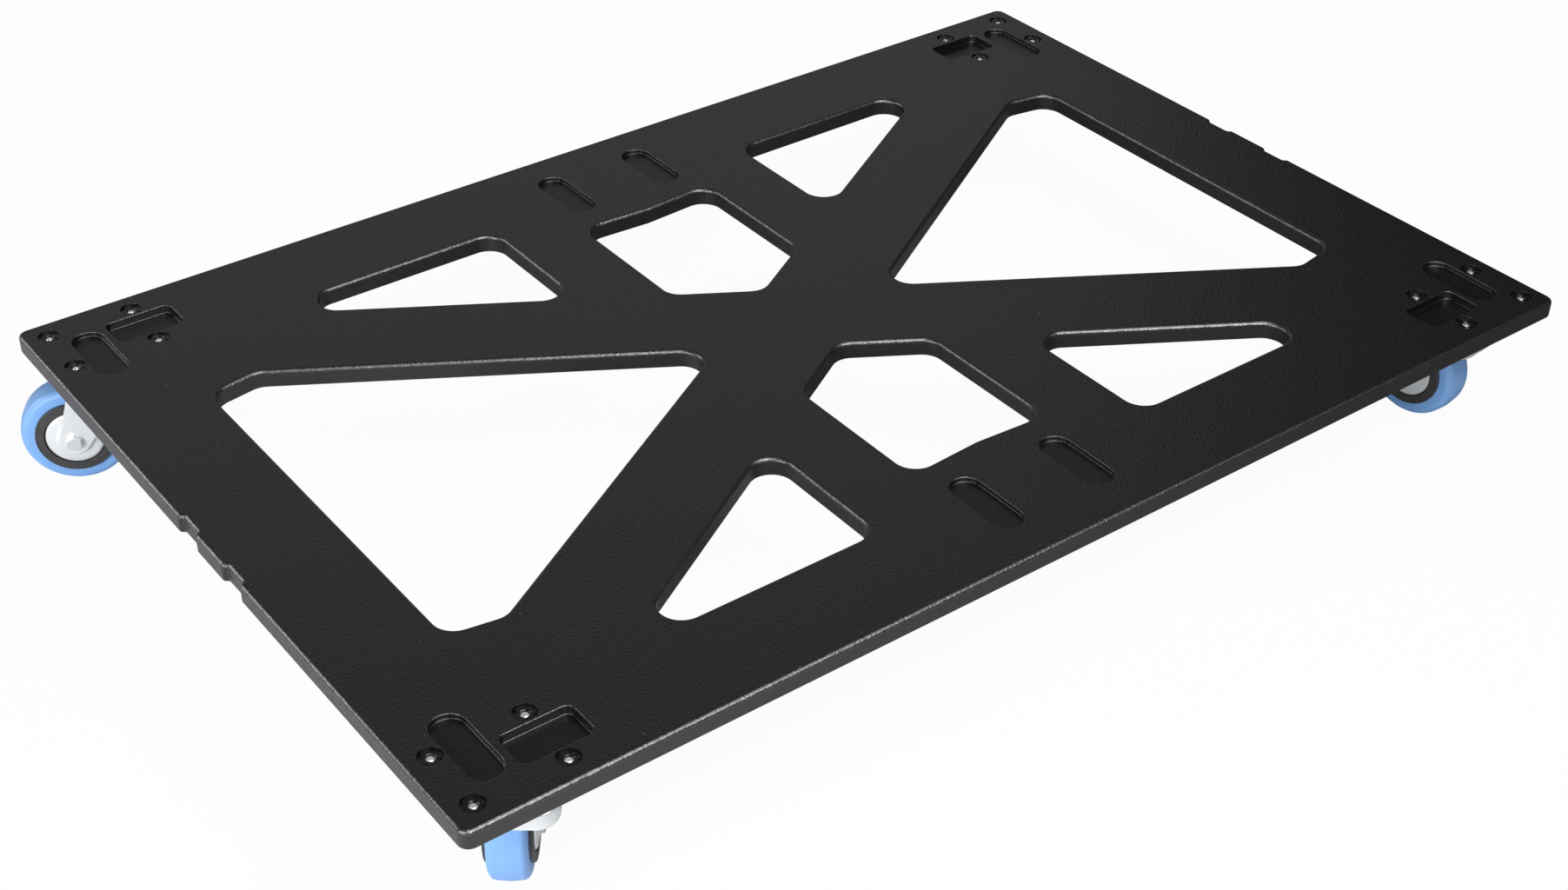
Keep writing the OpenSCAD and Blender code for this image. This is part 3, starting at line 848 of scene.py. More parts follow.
class RepeatTree(NodeBuilder):
    """A geometry node tree that repeats the object's own mesh."""

    def __init__(self, name: str, inputs: Sequence[tuple[str, str, float]]) -> None:
        """Start the tree.

        Args:
            name: Name of the tree.
            inputs: Name, socket type and first value of each size.
        """
        super().__init__(bpy.data.node_groups.new(name, "GeometryNodeTree"))
        face = self.tree.interface
        face.new_socket("Geometry", in_out="INPUT", socket_type="NodeSocketGeometry")
        self.identifiers = {}
        for label, kind, value in inputs:
            socket = face.new_socket(label, in_out="INPUT", socket_type=kind)
            socket.default_value = value
            self.identifiers[label] = socket.identifier
        material = face.new_socket("Material", in_out="INPUT", socket_type="NodeSocketMaterial")
        self.identifiers["Material"] = material.identifier
        face.new_socket("Geometry", in_out="OUTPUT", socket_type="NodeSocketGeometry")
        self.given = self.add("NodeGroupInput").outputs

    def copies(self, points: Socket, piece: Socket) -> Socket:
        """Instances of a piece on points."""
        return self.add("GeometryNodeInstanceOnPoints", {"Points": points, "Instance": piece}).outputs[0]

    def finish(self, instances: Socket) -> None:
        """Realise the instances, set the material and end the tree.

        Args:
            instances: Socket that carries the instances.
        """
        real = self.add("GeometryNodeRealizeInstances", {"Geometry": instances}).outputs["Geometry"]
        dressed = self.add("GeometryNodeSetMaterial", {"Geometry": real, "Material": self.given["Material"]})
        self.add("NodeGroupOutput", {"Geometry": dressed.outputs["Geometry"]})

    def run(self, mesh: bpy.types.Mesh, values: dict[str, object]) -> bpy.types.Mesh:
        """Repeat a mesh.

        Args:
            mesh: The mesh to repeat, in metres.
            values: Sizes and material, by input name.

        Returns:
            One plain mesh of all the copies.
        """
        obj = new_object("repeat_source", mesh)
        modifier = obj.modifiers.new("repeat", "NODES")
        modifier.node_group = self.tree
        for label, value in values.items():
            modifier[self.identifiers[label]] = value
        made = evaluated_mesh(obj)
        obj.modifiers.remove(modifier)
        bpy.data.objects.remove(obj)
        return made


def bolt_pattern_tree() -> RepeatTree:
    """Tree that puts the mesh at the four holes of each of the four top plates.

    Returns:
        The finished tree.
    """
    sizes = {"Plates apart": (1.0, 1.0), "Holes apart": (0.08, 0.06)}
    inputs = []
    for apart, values in sizes.items():
        inputs += [(f"{apart} {axis}", "NodeSocketFloat", value) for axis, value in zip("XY", values)]
    tree = RepeatTree("bolt_pattern", inputs)
    instances = tree.given["Geometry"]
    for apart in reversed(sizes):
        grid = tree.add(
            "GeometryNodeMeshGrid",
            {
                "Vertices X": 2,
                "Vertices Y": 2,
                "Size X": tree.given[f"{apart} X"],
                "Size Y": tree.given[f"{apart} Y"],
            },
        )
        instances = tree.copies(grid.outputs["Mesh"], instances)
    tree.finish(instances)
    return tree


def circle_row_tree() -> RepeatTree:
    """Tree that puts the mesh at even steps round a circle about Z.

    Returns:
        The finished tree.
    """
    tree = RepeatTree(
        "circle_row", [("Pitch radius", "NodeSocketFloat", 0.02), ("Count", "NodeSocketInt", 12)]
    )
    inputs = {"Vertices": tree.given["Count"], "Radius": tree.given["Pitch radius"]}
    row = tree.add("GeometryNodeMeshCircle", inputs)
    tree.finish(tree.copies(row.outputs["Mesh"], tree.given["Geometry"]))
    return tree


# The deck and its fasteners


@dataclass
class Pattern:
    """Where the casters and their bolts stand."""

    plate_x: float = 537.5
    plate_y: float = 346.0
    hole_dx: float = 80.0
    hole_dy: float = 60.0

    def plate_holes(self) -> list[Point2]:
        """Bolt positions on one plate."""
        return four(self.hole_dx / 2, self.hole_dy / 2)

    def holes(self) -> list[Point2]:
        """Every bolt position on the deck."""
        plates = four(self.plate_x, self.plate_y)
        return [(x + hole_x, y + hole_y) for x, y in plates for hole_x, hole_y in self.plate_holes()]

    def repeat(self, tree: RepeatTree, mesh: bpy.types.Mesh, material: bpy.types.Material) -> bpy.types.Mesh:
        """Repeat a mesh at every bolt position.

        Args:
            tree: The tree of the bolt pattern.
            mesh: The mesh to repeat, in metres.
            material: Material of every copy.

        Returns:
            One mesh of all the copies.
        """
        return tree.run(
            mesh,
            {
                "Plates apart X": 2 * self.plate_x * MM,
                "Plates apart Y": 2 * self.plate_y * MM,
                "Holes apart X": self.hole_dx * MM,
                "Holes apart Y": self.hole_dy * MM,
                "Material": material,
            },
        )


@dataclass
class Deck:
    """The plywood panel with its cut-outs, pockets, recesses and notches."""

    length: float = 1200.0
    width: float = 800.0
    thickness: float = 18.0
    corner_r: float = 10.0
    edge_r: float = 3.6
    lower_edge_r: float = 2.0
    edge_steps: int = 6
    brace_w: float = 100.0
    brace_rise: float = 0.6
    cutout_r: float = 20.0
    end_wall_x: float = 500.0
    end_shoulder_x: float = 450.0
    end_shoulder_y: float = 203.5
    tri_wall_x: float = 150.0
    tri_wall_y: float = 300.0
    mid_half_w: float = 75.0
    mid_wall_y: float = 250.0
    mid_bow_r: float = 425.0
    notch_y: float = 40.0
    notch_w: float = 36.0
    notch_d: float = 4.0
    notch_r: float = 4.0
    pocket_l: float = 64.0
    pocket_w: float = 37.0
    pocket_r: float = 7.0
    pocket_d: float = 8.5
    slot_l: float = 80.0
    slot_w: float = 30.0
    slot_d: float = 5.0
    slot_outer_x: float = 551.5
    slot_inner_x: float = 51.0
    slot_y: float = 322.5
    mouth_r: float = 0.75
    floor_r: float = 1.2
    pocket_steps: int = 3
    recess_r: float = 10.0
    recess_d: float = 3.0
    recess_edge_r: float = 0.15
    recess_steps: int = 2
    barrel_r: float = 5.05
    barrel_end: float = 14.0
    hole_r: float = 4.5
    pattern: Pattern = field(default_factory=Pattern)

    def brace_off(self) -> float:
        """Distance along Y from a bar's centre line to its edge."""
        return self.brace_w / 2 * math.sqrt(1 + self.brace_rise**2)

    def notch(self, y: float) -> list[Point3]:
        """Arcs of the notch at y in the short edge at +X.

        Args:
            y: Place of the notch's middle along the edge.

        Returns:
            The arcs, anticlockwise.
        """
        turn = math.acos(1 - self.notch_d / (2 * self.notch_r))
        run = 2 * self.notch_r * math.sin(turn)
        outer = self.length / 2 - self.notch_r
        inner = self.length / 2 - self.notch_d + self.notch_r
        return [
            (outer, y - self.notch_w / 2, self.notch_r),
            (inner, y - self.notch_w / 2 + run, -self.notch_r),
            (inner, y + self.notch_w / 2 - run, -self.notch_r),
            (outer, y + self.notch_w / 2, self.notch_r),
        ]

    def rim(self) -> Outline:
        """Outline of the whole panel.

        Returns:
            The outline.
        """
        x, y = self.length / 2 - self.corner_r, self.width / 2 - self.corner_r
        notches = self.notch(-self.notch_y) + self.notch(self.notch_y)
        half = Outline(((x, -y, self.corner_r), *notches, (x, y, self.corner_r)))
        return Outline(half.arcs + half.turned().arcs)

    def middle_cutout(self) -> Outline:
        """Outline of the middle cut-out at +Y, whose far wall bows inwards.

        Returns:
            The outline.
        """
        off = self.brace_off()
        shoulder_y = self.brace_rise * self.mid_half_w + off
        corners = [
            (0.0, off),
            (self.mid_half_w, shoulder_y),
            (self.mid_half_w, self.mid_wall_y),
            (-self.mid_half_w, self.mid_wall_y),
            (-self.mid_half_w, shoulder_y),
        ]
        foot, right, *_, left = Outline.rounded(corners, self.cutout_r).arcs
        bow_y = self.mid_wall_y + self.mid_bow_r
        top_x = self.mid_half_w - self.cutout_r
        top_y = bow_y - math.sqrt((self.mid_bow_r + self.cutout_r) ** 2 - top_x**2)
        bow = ((top_x, top_y, self.cutout_r), (0.0, bow_y, -self.mid_bow_r), (-top_x, top_y, self.cutout_r))
        return Outline((foot, right, *bow, left))

    def cutouts(self) -> list[Outline]:
        """Outlines of the eight cut-outs.

        Returns:
            The outlines: the ends, the middles, then the triangles.
        """
        off, rise = self.brace_off(), self.brace_rise
        end = Outline.rounded(
            [
                (off / rise, 0.0),
                (self.end_shoulder_x, off - rise * self.end_shoulder_x),
                (self.end_wall_x, -self.end_shoulder_y),
                (self.end_wall_x, self.end_shoulder_y),
                (self.end_shoulder_x, rise * self.end_shoulder_x - off),
            ],
            self.cutout_r,
        )
        triangle = Outline.rounded(
            [
                (self.tri_wall_x, rise * self.tri_wall_x + off),
                ((self.tri_wall_y - off) / rise, self.tri_wall_y),
                (self.tri_wall_x, self.tri_wall_y),
            ],
            self.cutout_r,
        )
        half = (end, self.middle_cutout(), triangle, triangle.mirrored())
        return [outline for one in half for outline in (one, one.turned())]

    def pockets(self) -> list[tuple[Outline, float]]:
        """Outline and depth of the twelve pockets.

        Returns:
            An outline and a depth for each pocket.
        """
        found = []
        box = Outline.rectangle(self.pocket_l, self.pocket_w, self.pocket_r)
        ends = (self.slot_l - self.slot_w) / 2
        slot = Outline(((0.0, -ends, self.slot_w / 2), (0.0, ends, self.slot_w / 2)))
        for sx, sy in four(1, 1):
            x = sx * (self.pattern.plate_x - self.pattern.hole_dx / 2)
            found.append((box.moved(x, sy * self.pattern.plate_y), self.pocket_d))
            for slot_x in (self.slot_inner_x, self.slot_outer_x):
                found.append((slot.moved(sx * slot_x, sy * self.slot_y), self.slot_d))
        return found

    def wall_levels(self, sign: float) -> tuple[list[Point2], list[int]]:
        """Levels of a wall through the panel, rounded over at both faces.

        Args:
            sign: -1 for the panel's own edge, 1 for the edge of a cut-out.

        Returns:
            (height, growth) of each ring, upwards, and the finish of each band.
        """
        under = quarter(self.lower_edge_r, self.edge_steps)
        over = quarter(self.edge_r, self.edge_steps)
        low = [(-self.thickness + depth, sign * (self.lower_edge_r - along)) for along, depth in under]
        high = [(-depth, sign * (self.edge_r - along)) for along, depth in reversed(over)]
        return low + high, [Paint.WALL] * len(low) + [Paint.EDGE] * (len(high) - 2) + [Paint.TOP]

    def pocket_levels(self, depth: float) -> tuple[list[Point2], list[int]]:
        """Levels of a pocket's wall.

        Args:
            depth: Depth of the pocket.

        Returns:
            (height, growth) of each ring, downwards, and the finish of each band.
        """
        mouth = quarter(self.mouth_r, self.pocket_steps)
        corner = quarter(self.floor_r, self.pocket_steps)
        levels = [(-down, self.mouth_r - along) for along, down in mouth]
        levels += [(-depth + self.floor_r - along, -down) for along, down in corner]
        return levels, [Paint.EDGE] * (len(mouth) - 1) + [Paint.POCKET_SHADE] * len(corner)

    def bolt_hole_levels(self) -> tuple[list[Point2], list[int]]:
        """Levels of a bolt hole: the recess, the bore of the T-nut's barrel and the hole.

        Returns:
            (height, radius) of each ring, downwards, and the finish of each band.
        """
        rim = quarter(self.recess_edge_r, self.recess_steps)
        levels = [(-down, self.recess_r + self.recess_edge_r - along) for along, down in rim]
        levels += [
            (-self.recess_d, self.recess_r),
            (-self.recess_d, self.barrel_r),
            (-self.barrel_end, self.barrel_r),
            (-self.barrel_end, self.hole_r),
            (-self.thickness, self.hole_r),
        ]
        return levels, [Paint.EDGE] * (len(rim) - 1) + [Paint.POCKET_SHADE] * (len(levels) - len(rim))

    def shape(self) -> Shape:
        """Build the panel.

        Returns:
            The panel, with its finishes as Paint numbers them.
        """
        shape = Shape()
        top_rings, bottom_rings = [], []
        for outline, sign in [(self.rim(), -1.0)] + [(cutout, 1.0) for cutout in self.cutouts()]:
            levels, finishes = self.wall_levels(sign)
            bottom, top = shape.loft(outline, levels, finishes=finishes)
            bottom_rings.append(bottom)
            top_rings.append(top)
        for outline, depth in self.pockets():
            levels, finishes = self.pocket_levels(depth)
            top, floor = shape.loft(outline, levels, finishes=finishes)
            top_rings.append(top)
            shape.cap(floor, Paint.POCKET_SHADE)
        levels, finishes = self.bolt_hole_levels()
        for x, y in self.pattern.holes():
            top, bottom = shape.loft(Outline.circle(0.0, x, y), levels, HOLE_STEP, finishes)
            top_rings.append(top)
            bottom_rings.append(bottom)
        shape.fill(top_rings)
        shape.fill(bottom_rings)
        return shape

    def build(self, shop: Workshop) -> None:
        """Make and dress the panel.

        Args:
            shop: Makes and dresses the object.
        """
        mesh = self.shape().mesh("deck_panel")
        for paint in Paint:
            mesh.materials.append(shop.deck_paints[paint])
        shop.place("deck_panel", mesh, Slot.DECK, "board", ["deck"])


@dataclass
class Fasteners:
    """T-nuts, bolts and washers that hold the top plates."""

    flange_r: float = 9.75
    flange_t: float = 1.2
    flange_edge: float = 0.35
    flange_steps: int = 10
    barrel_r: float = 5.0
    barrel_l: float = 11.0
    bore_r: float = 4.0
    bore_lip: float = 0.5
    bore_lip_d: float = 0.4
    cut_w: float = 3.2
    cut_l: float = 3.0
    recess_d: float = 3.0
    deck_t: float = 18.0
    plate_t: float = 3.0
    bolt_r: float = 3.95
    bolt_l: float = 20.0
    bolt_af: float = 13.0
    head_h: float = 5.3
    thread_pitch: float = 1.25
    thread_depth: float = 0.55
    thread_turns: int = 9
    tip_chamfer: float = 1.1
    washer_r: float = 8.0
    washer_t: float = 1.6
    washer_gap: float = 0.25
    washer_edge_r: float = 0.25
    pattern: Pattern = field(default_factory=Pattern)

    def flange(self) -> list[Point2]:
        """Outline of the T-nut's flange, with its four prong cuts.

        Returns:
            The outline's points.
        """
        points = []
        half_cut = math.asin(self.cut_w / 2 / self.flange_r)
        mouth, root = self.flange_r * math.cos(half_cut), self.flange_r - self.cut_l
        for k in range(4):
            middle = math.radians(45 + 90 * k)
            along = Vector(polar(1.0, middle))
            side = Vector((-along.y, along.x)) * self.cut_w / 2
            for reach, sign in ((mouth, -1), (root, -1), (root, 1), (mouth, 1)):
                points.append(tuple(along * reach + side * sign))
            span = math.pi / 2 - 2 * half_cut
            for j in range(1, self.flange_steps):
                points.append(polar(self.flange_r, middle + half_cut + span * j / self.flange_steps))
        return points

    def t_nut(self) -> Shape:
        """One T-nut: a flange with four prong cuts and a barrel with its bore.

        Returns:
            The T-nut, standing on its place in the deck.
        """
        shape = Shape()
        flange, edge = self.flange(), self.flange_edge
        inset = 1 - edge / self.flange_r
        shrunk = [(x * inset, y * inset) for x, y in flange]
        low = -self.recess_d
        high, end = low + self.flange_t, low - self.barrel_l
        levels = ((shrunk, low), (flange, low + edge), (flange, high - edge), (shrunk, high))
        rings = [shape.ring(points, height) for points, height in levels]
        shape.bands(rings)
        bore = [
            (high, self.bore_r + self.bore_lip),
            (high - self.bore_lip_d, self.bore_r),
            (end, self.bore_r),
            (end, self.barrel_r),
            (low, self.barrel_r),
        ]
        mouth, outside = shape.loft(Outline.circle(0.0), bore, HOLE_STEP)
        shape.fill([rings[-1], mouth])
        shape.fill([rings[0], outside])
        return shape

    def bolt(self) -> Shape:
        """One plate bolt: hexagon head, shank, ridged thread and chamfered tip.

        Returns:
            The bolt.
        """
        under = -self.deck_t - self.plate_t - self.washer_t
        tip = under + self.bolt_l
        crest, root = self.bolt_r, self.bolt_r - self.thread_depth
        start = tip - self.thread_turns * self.thread_pitch
        turn = [(root, 0.45), (root, 0.55), (crest, 0.95), (crest, 1.0)]
        profile = [
            (crest, under),
            (crest, start),
            *thread(start, self.thread_pitch, self.thread_turns - 1, turn),
            (root, tip - self.tip_chamfer),
            (root - self.tip_chamfer, tip),
        ]
        return Shape().lathe(profile, Facets.BOLT, closed=False).hexagon(
            self.bolt_af, under - self.head_h, under, chamfer_top=False
        )

    def washer(self) -> Shape:
        """One washer.

        Returns:
            The washer.
        """
        low = -self.deck_t - self.plate_t - self.washer_t
        radii = (self.bolt_r + self.washer_gap, self.washer_r)
        return tube(radii, (low, low + self.washer_t), self.washer_edge_r, Facets.SMALL, steps=2)

    def build(self, shop: Workshop, tree: RepeatTree) -> None:
        """Make and dress all three kinds, each repeated over the bolt pattern.

        Args:
            shop: Makes and dresses the objects.
            tree: Tree that repeats a mesh over the bolt pattern.
        """
        for name, shape, slot in (
            ("t_nuts", self.t_nut(), Slot.BLACK_STEEL),
            ("plate_bolts", self.bolt(), Slot.ZINC),
            ("plate_washers", self.washer(), Slot.ZINC),
        ):
            mesh = self.pattern.repeat(tree, shape.mesh(f"{name}_single"), shop.materials[slot])
            shop.place(f"{name}_set", mesh, slot, "board", [name])


# The casters


@dataclass(frozen=True)
class Stand:
    """Where a caster stands and which way its wheel points."""

    name: str
    side_x: int
    side_y: int
    turn: float


class Corner(Enum):
    """The four casters."""

    REAR_LEFT = Stand("rear_left", -1, 1, 152.0)
    FRONT_LEFT = Stand("front_left", -1, -1, 53.0)
    FRONT_RIGHT = Stand("front_right", 1, -1, 95.0)
    REAR_RIGHT = Stand("rear_right", 1, 1, 160.0)


@dataclass
class CasterPlaces:
    """Matrices that put a caster's pieces in their place, in millimetres."""

    stand: Stand
    pattern: Pattern
    deck_t: float = 18.0
    trail: float = 39.0
    axle_depth: float = 78.0

    def plate(self) -> Matrix:
        """Under the deck, with height zero at its bottom face."""
        x, y = self.stand.side_x * self.pattern.plate_x, self.stand.side_y * self.pattern.plate_y
        return Matrix.Translation((x, y, -self.deck_t))

    def swivel(self) -> Matrix:
        """The same, turned so that +X points to the axle."""
        return self.plate() @ Matrix.Rotation(math.radians(self.stand.turn), 4, "Z")

    def axle(self) -> Matrix:
        """Height zero on the axle, with Z along it."""
        drop = Matrix.Translation((self.trail, 0.0, -self.axle_depth))
        return self.swivel() @ drop @ Matrix.Rotation(math.radians(-90), 4, "X")


@dataclass
class TopPlate:
    """The plate that is bolted to the deck, with its pressed race."""

    length: float = 105.0
    width: float = 85.0
    thickness: float = 3.0
    corner_r: float = 8.0
    edge_r: float = 0.6
    edge_steps: int = 3
    top_chamfer: float = 0.2
    hole_r: float = 4.5
    hole_chamfer: float = 0.3
    race_in: float = 15.5
    race_out: float = 24.5
    race_face: float = 5.2
    race_edge: float = 0.5
    race_foot: float = 1.2
    race_foot_in: float = 0.3
    race_foot_d: float = 0.6
    race_step: float = 5.0
    pin_r: float = 6.05
    seat_r: float = 10.05
    seat_t: float = 1.5

    def shape(self, pattern: Pattern) -> Shape:
        """Build the plate.

        Args:
            pattern: The bolt pattern that the plate fits.

        Returns:
            The plate.
        """
        shape = Shape()
        t, chamfer, edge, face = self.thickness, self.hole_chamfer, self.race_edge, -self.race_face
        side = [(-t + depth, along - self.edge_r) for along, depth in quarter(self.edge_r, self.edge_steps)]
        side += [(-self.top_chamfer, 0.0), (0.0, -self.top_chamfer)]
        hole = [(-t, chamfer), (-t + chamfer, 0.0), (-chamfer, 0.0), (0.0, chamfer)]
        race = [
            (-t, self.race_out + self.race_foot),
            (-t - self.race_foot_d, self.race_out + self.race_foot_in),
            (face + edge, self.race_out),
            (face, self.race_out - edge),
            (face, self.race_in + edge),
            (face + edge, self.race_in),
            (-t, self.race_in),
            (-t, self.pin_r),
            (-self.seat_t, self.pin_r),
            (-self.seat_t, self.seat_r),
            (0.0, self.seat_r),
        ]
        holes = [Outline.circle(self.hole_r, x, y) for x, y in pattern.plate_holes()]
        ends = [shape.loft(Outline.rectangle(self.length, self.width, self.corner_r), side)]
        ends += [shape.loft(outline, hole, HOLE_STEP) for outline in holes]
        ends.append(shape.loft(Outline.circle(0.0), race, self.race_step))
        shape.fill([top for _, top in ends])
        shape.fill([bottom for bottom, _ in ends])
        return shape


@dataclass
class SwivelBearing:
    """Kingpin, lower race, balls and dust ring."""

    pin_r: float = 6.0
    head_r: float = 10.0
    top_t: float = 1.5
    head_t: float = 3.5
    head_flat_share: float = 0.6
    head_fall: Point2 = (0.8, 0.5)
    head_side: float = 1.4
    pin_edge_r: float = 0.4
    ball_r: float = 2.6
    upper_pitch: float = 20.0
    lower_pitch: float = 15.0
    upper_count: int = 20
    lower_count: int = 14
    upper_centre: float = 8.1
    lower_centre: float = 16.9
    race_top: float = 19.8
    race_end: float = 22.3
    race_out: float = 19.5
    race_in: float = 6.05
    race_edge_r: float = 0.7
    ring_in: float = 25.5
    ring_out: float = 28.5
    ring_top: float = 3.3
    ring_end: float = 11.0
    ring_edge_r: float = 0.8

    def kingpin(self) -> Shape:
        """The pin with its two riveted heads.

        Returns:
            The pin.
        """
        end = -self.race_end
        fall_in, fall_d = self.head_fall
        corners = [
            (self.head_r * self.head_flat_share, end - self.head_t),
            (self.head_r - fall_in, end - self.head_t + fall_d),
            (self.head_r, end - self.head_t + self.head_side),
            (self.head_r, end),
            (self.pin_r, end),
            (self.pin_r, -self.top_t),
            (self.head_r, -self.top_t),
            (self.head_r, 0.0),
        ]
        profile = fillet(corners, self.pin_edge_r, steps=3, closed=False)
        return Shape().lathe(profile, Facets.PIN, closed=False)

    def lower_race(self) -> Shape:
        """The ring under the hood that carries the lower balls."""
        heights = (-self.race_end, -self.race_top)
        return tube((self.race_in, self.race_out), heights, self.race_edge_r, Facets.RING)

    def dust_ring(self) -> Shape:
        """The ring that closes the upper race."""
        heights = (-self.ring_end, -self.ring_top)
        return tube((self.ring_in, self.ring_out), heights, self.ring_edge_r, Facets.RING)

    def balls(self, tree: RepeatTree, material: bpy.types.Material, place: Matrix) -> bpy.types.Mesh:
        """Both rows of balls as one mesh in its place.

        Args:
            tree: Tree that repeats a mesh round a circle.
            material: Material of the balls.
            place: Matrix in millimetres that puts the rows in their place.

        Returns:
            One mesh of all the balls.
        """
        both = bmesh.new()
        for pitch, count, depth in (
            (self.upper_pitch, self.upper_count, self.upper_centre),
            (self.lower_pitch, self.lower_count, self.lower_centre),
        ):
            ball = bmesh.new()
            bmesh.ops.create_icosphere(ball, subdivisions=2, radius=self.ball_r * MM)
            single = bpy.data.meshes.new("ball")
            ball.to_mesh(single)
            ball.free()
            row = tree.run(single, {"Pitch radius": pitch * MM, "Count": count, "Material": material})
            row.transform(in_metres(place @ Matrix.Translation((0.0, 0.0, -depth))))
            both.from_mesh(row)
        mesh = bpy.data.meshes.new("balls")
        both.to_mesh(mesh)
        both.free()
        mesh.materials.append(material)
        mesh.shade_smooth()
        return mesh


@dataclass
class Fork:
    """The hood over the swivel bearing and the two legs that hold the axle."""

    half_w: float = 43.5
    front: float = 30.0
    rear: float = 35.0
    corner_r: float = 18.0
    top_r: float = 4.0
    top: float = 11.0
    end: float = 27.0
    end_chamfer: float = 0.6
    top_steps: int = 5
    sheet_t: float = 3.0
    inner_r: float = 1.0
    inner_steps: int = 3
    arch_w: float = 56.0
    arch_h: float = 8.0
    arch_r: float = 3.0
    pin_hole_r: float = 6.05
    leg_in: float = 22.5
    leg_edge_r: float = 0.7
    leg_edge_steps: int = 3
    leg_step: float = 6.0
    trail: float = 39.0
    axle_depth: float = 78.0
    foot_r: float = 14.0
    flare: float = 1.5
    axle_hole_r: float = 4.05
    hole_chamfer: float = 0.2

    def hood(self) -> Shape:
        """The hood, without its wheel arch.

        Returns:
            The hood.
        """
        shape = Shape()
        corners = [
            (self.rear, -self.half_w),
            (self.rear, self.half_w),
            (-self.front, self.half_w),
            (-self.front, -self.half_w),
        ]
        outline = Outline.rounded(corners, self.corner_r)
        under, t, chamfer = self.top + self.sheet_t, self.sheet_t, self.end_chamfer
        over = list(reversed(quarter(self.top_r, self.top_steps)))
        outer = [(-self.end, -chamfer), (-self.end + chamfer, 0.0)]
        outer += [(-self.top - depth, along - self.top_r) for along, depth in over]
        inside = list(reversed(quarter(self.inner_r, self.inner_steps)))
        inner = [(-self.end, chamfer - t), (-self.end + chamfer, -t)]
        inner += [(-under - depth, along - self.inner_r - t) for along, depth in inside]
        first_out, last_out = shape.loft(outline, outer)
        first_in, last_in = shape.loft(outline, inner)
        shape.bands([first_in, first_out])
        low, high = shape.loft(Outline.circle(self.pin_hole_r), [(-under, 0.0), (-self.top, 0.0)])
        shape.fill([last_out, high])
        shape.fill([last_in, low])
        return shape

    def arch(self) -> Shape:
        """The block that cuts the wheel arch out of the hood's rear wall.

        Returns:
            The block.
        """
        shape = Shape()
        outline = Outline.rectangle(self.arch_w, 2 * self.arch_h, self.arch_r).points()
        reach = (self.rear - self.corner_r, self.rear + self.arch_h)
        shape.solid([[shape.bm.verts.new((x, y, z - self.end)) for y, z in outline] for x in reach])
        return shape

    def arched_hood(self) -> bpy.types.Mesh:
        """The hood with its wheel arch cut, in millimetres.

        Returns:
            The hood's mesh.
        """
        pair = []
        for name, shape in (("hood", self.hood()), ("arch", self.arch())):
            bmesh.ops.recalc_face_normals(shape.bm, faces=shape.bm.faces)
            mesh = bpy.data.meshes.new(name)
            shape.bm.to_mesh(mesh)
            pair.append(new_object(name, mesh))
        body, tool = pair
        cut = body.modifiers.new("arch", "BOOLEAN")
        cut.operation = "DIFFERENCE"
        cut.solver = "EXACT"
        cut.object = tool
        mesh = evaluated_mesh(body)
        bpy.data.objects.remove(body)
        bpy.data.objects.remove(tool)
        return mesh

    def leg(self) -> Shape:
        """One leg, lying flat: X along the trail, Y up, thickness along Z from zero.

        Returns:
            The leg.
        """
        shape = Shape()
        t, r, chamfer = self.sheet_t, self.leg_edge_r, self.hole_chamfer
        outline = Outline(
            (
                (-self.front + 2 * t, -self.top - t, t / 2),
                (self.trail, -self.axle_depth, self.foot_r),
                (self.rear + self.flare, -self.end, t / 2),
                (self.rear - t, -self.top - t, t / 2),
            )
        )
        edge = quarter(r, self.leg_edge_steps)
        side = [(depth, along - r) for along, depth in edge]
        side += [(t - depth, along - r) for along, depth in reversed(edge)]
        hole = [(0.0, chamfer), (chamfer, 0.0), (t - chamfer, 0.0), (t, chamfer)]
        axle_hole = Outline.circle(self.axle_hole_r, self.trail, -self.axle_depth)
        first, last = shape.loft(outline, side, self.leg_step)
        low, high = shape.loft(axle_hole, hole, HOLE_STEP)
        shape.fill([first, low])
        shape.fill([last, high])
        return shape

    def mesh(self, place: Matrix) -> bpy.types.Mesh:
        """The whole fork in its place, in metres.

        Args:
            place: Matrix in millimetres that puts the fork in its place.

        Returns:
            The fork's mesh.
        """
        shape = Shape()
        shape.bm.from_mesh(self.arched_hood())
        leg = self.leg()
        upright = Matrix(((1, 0, 0, 0), (0, 0, 1, 0), (0, 1, 0, 0), (0, 0, 0, 1)))
        for start in (self.leg_in, -self.leg_in - self.sheet_t):
            shape.add(leg, Matrix.Translation((0.0, start, 0.0)) @ upright)
        return shape.mesh("fork", place)


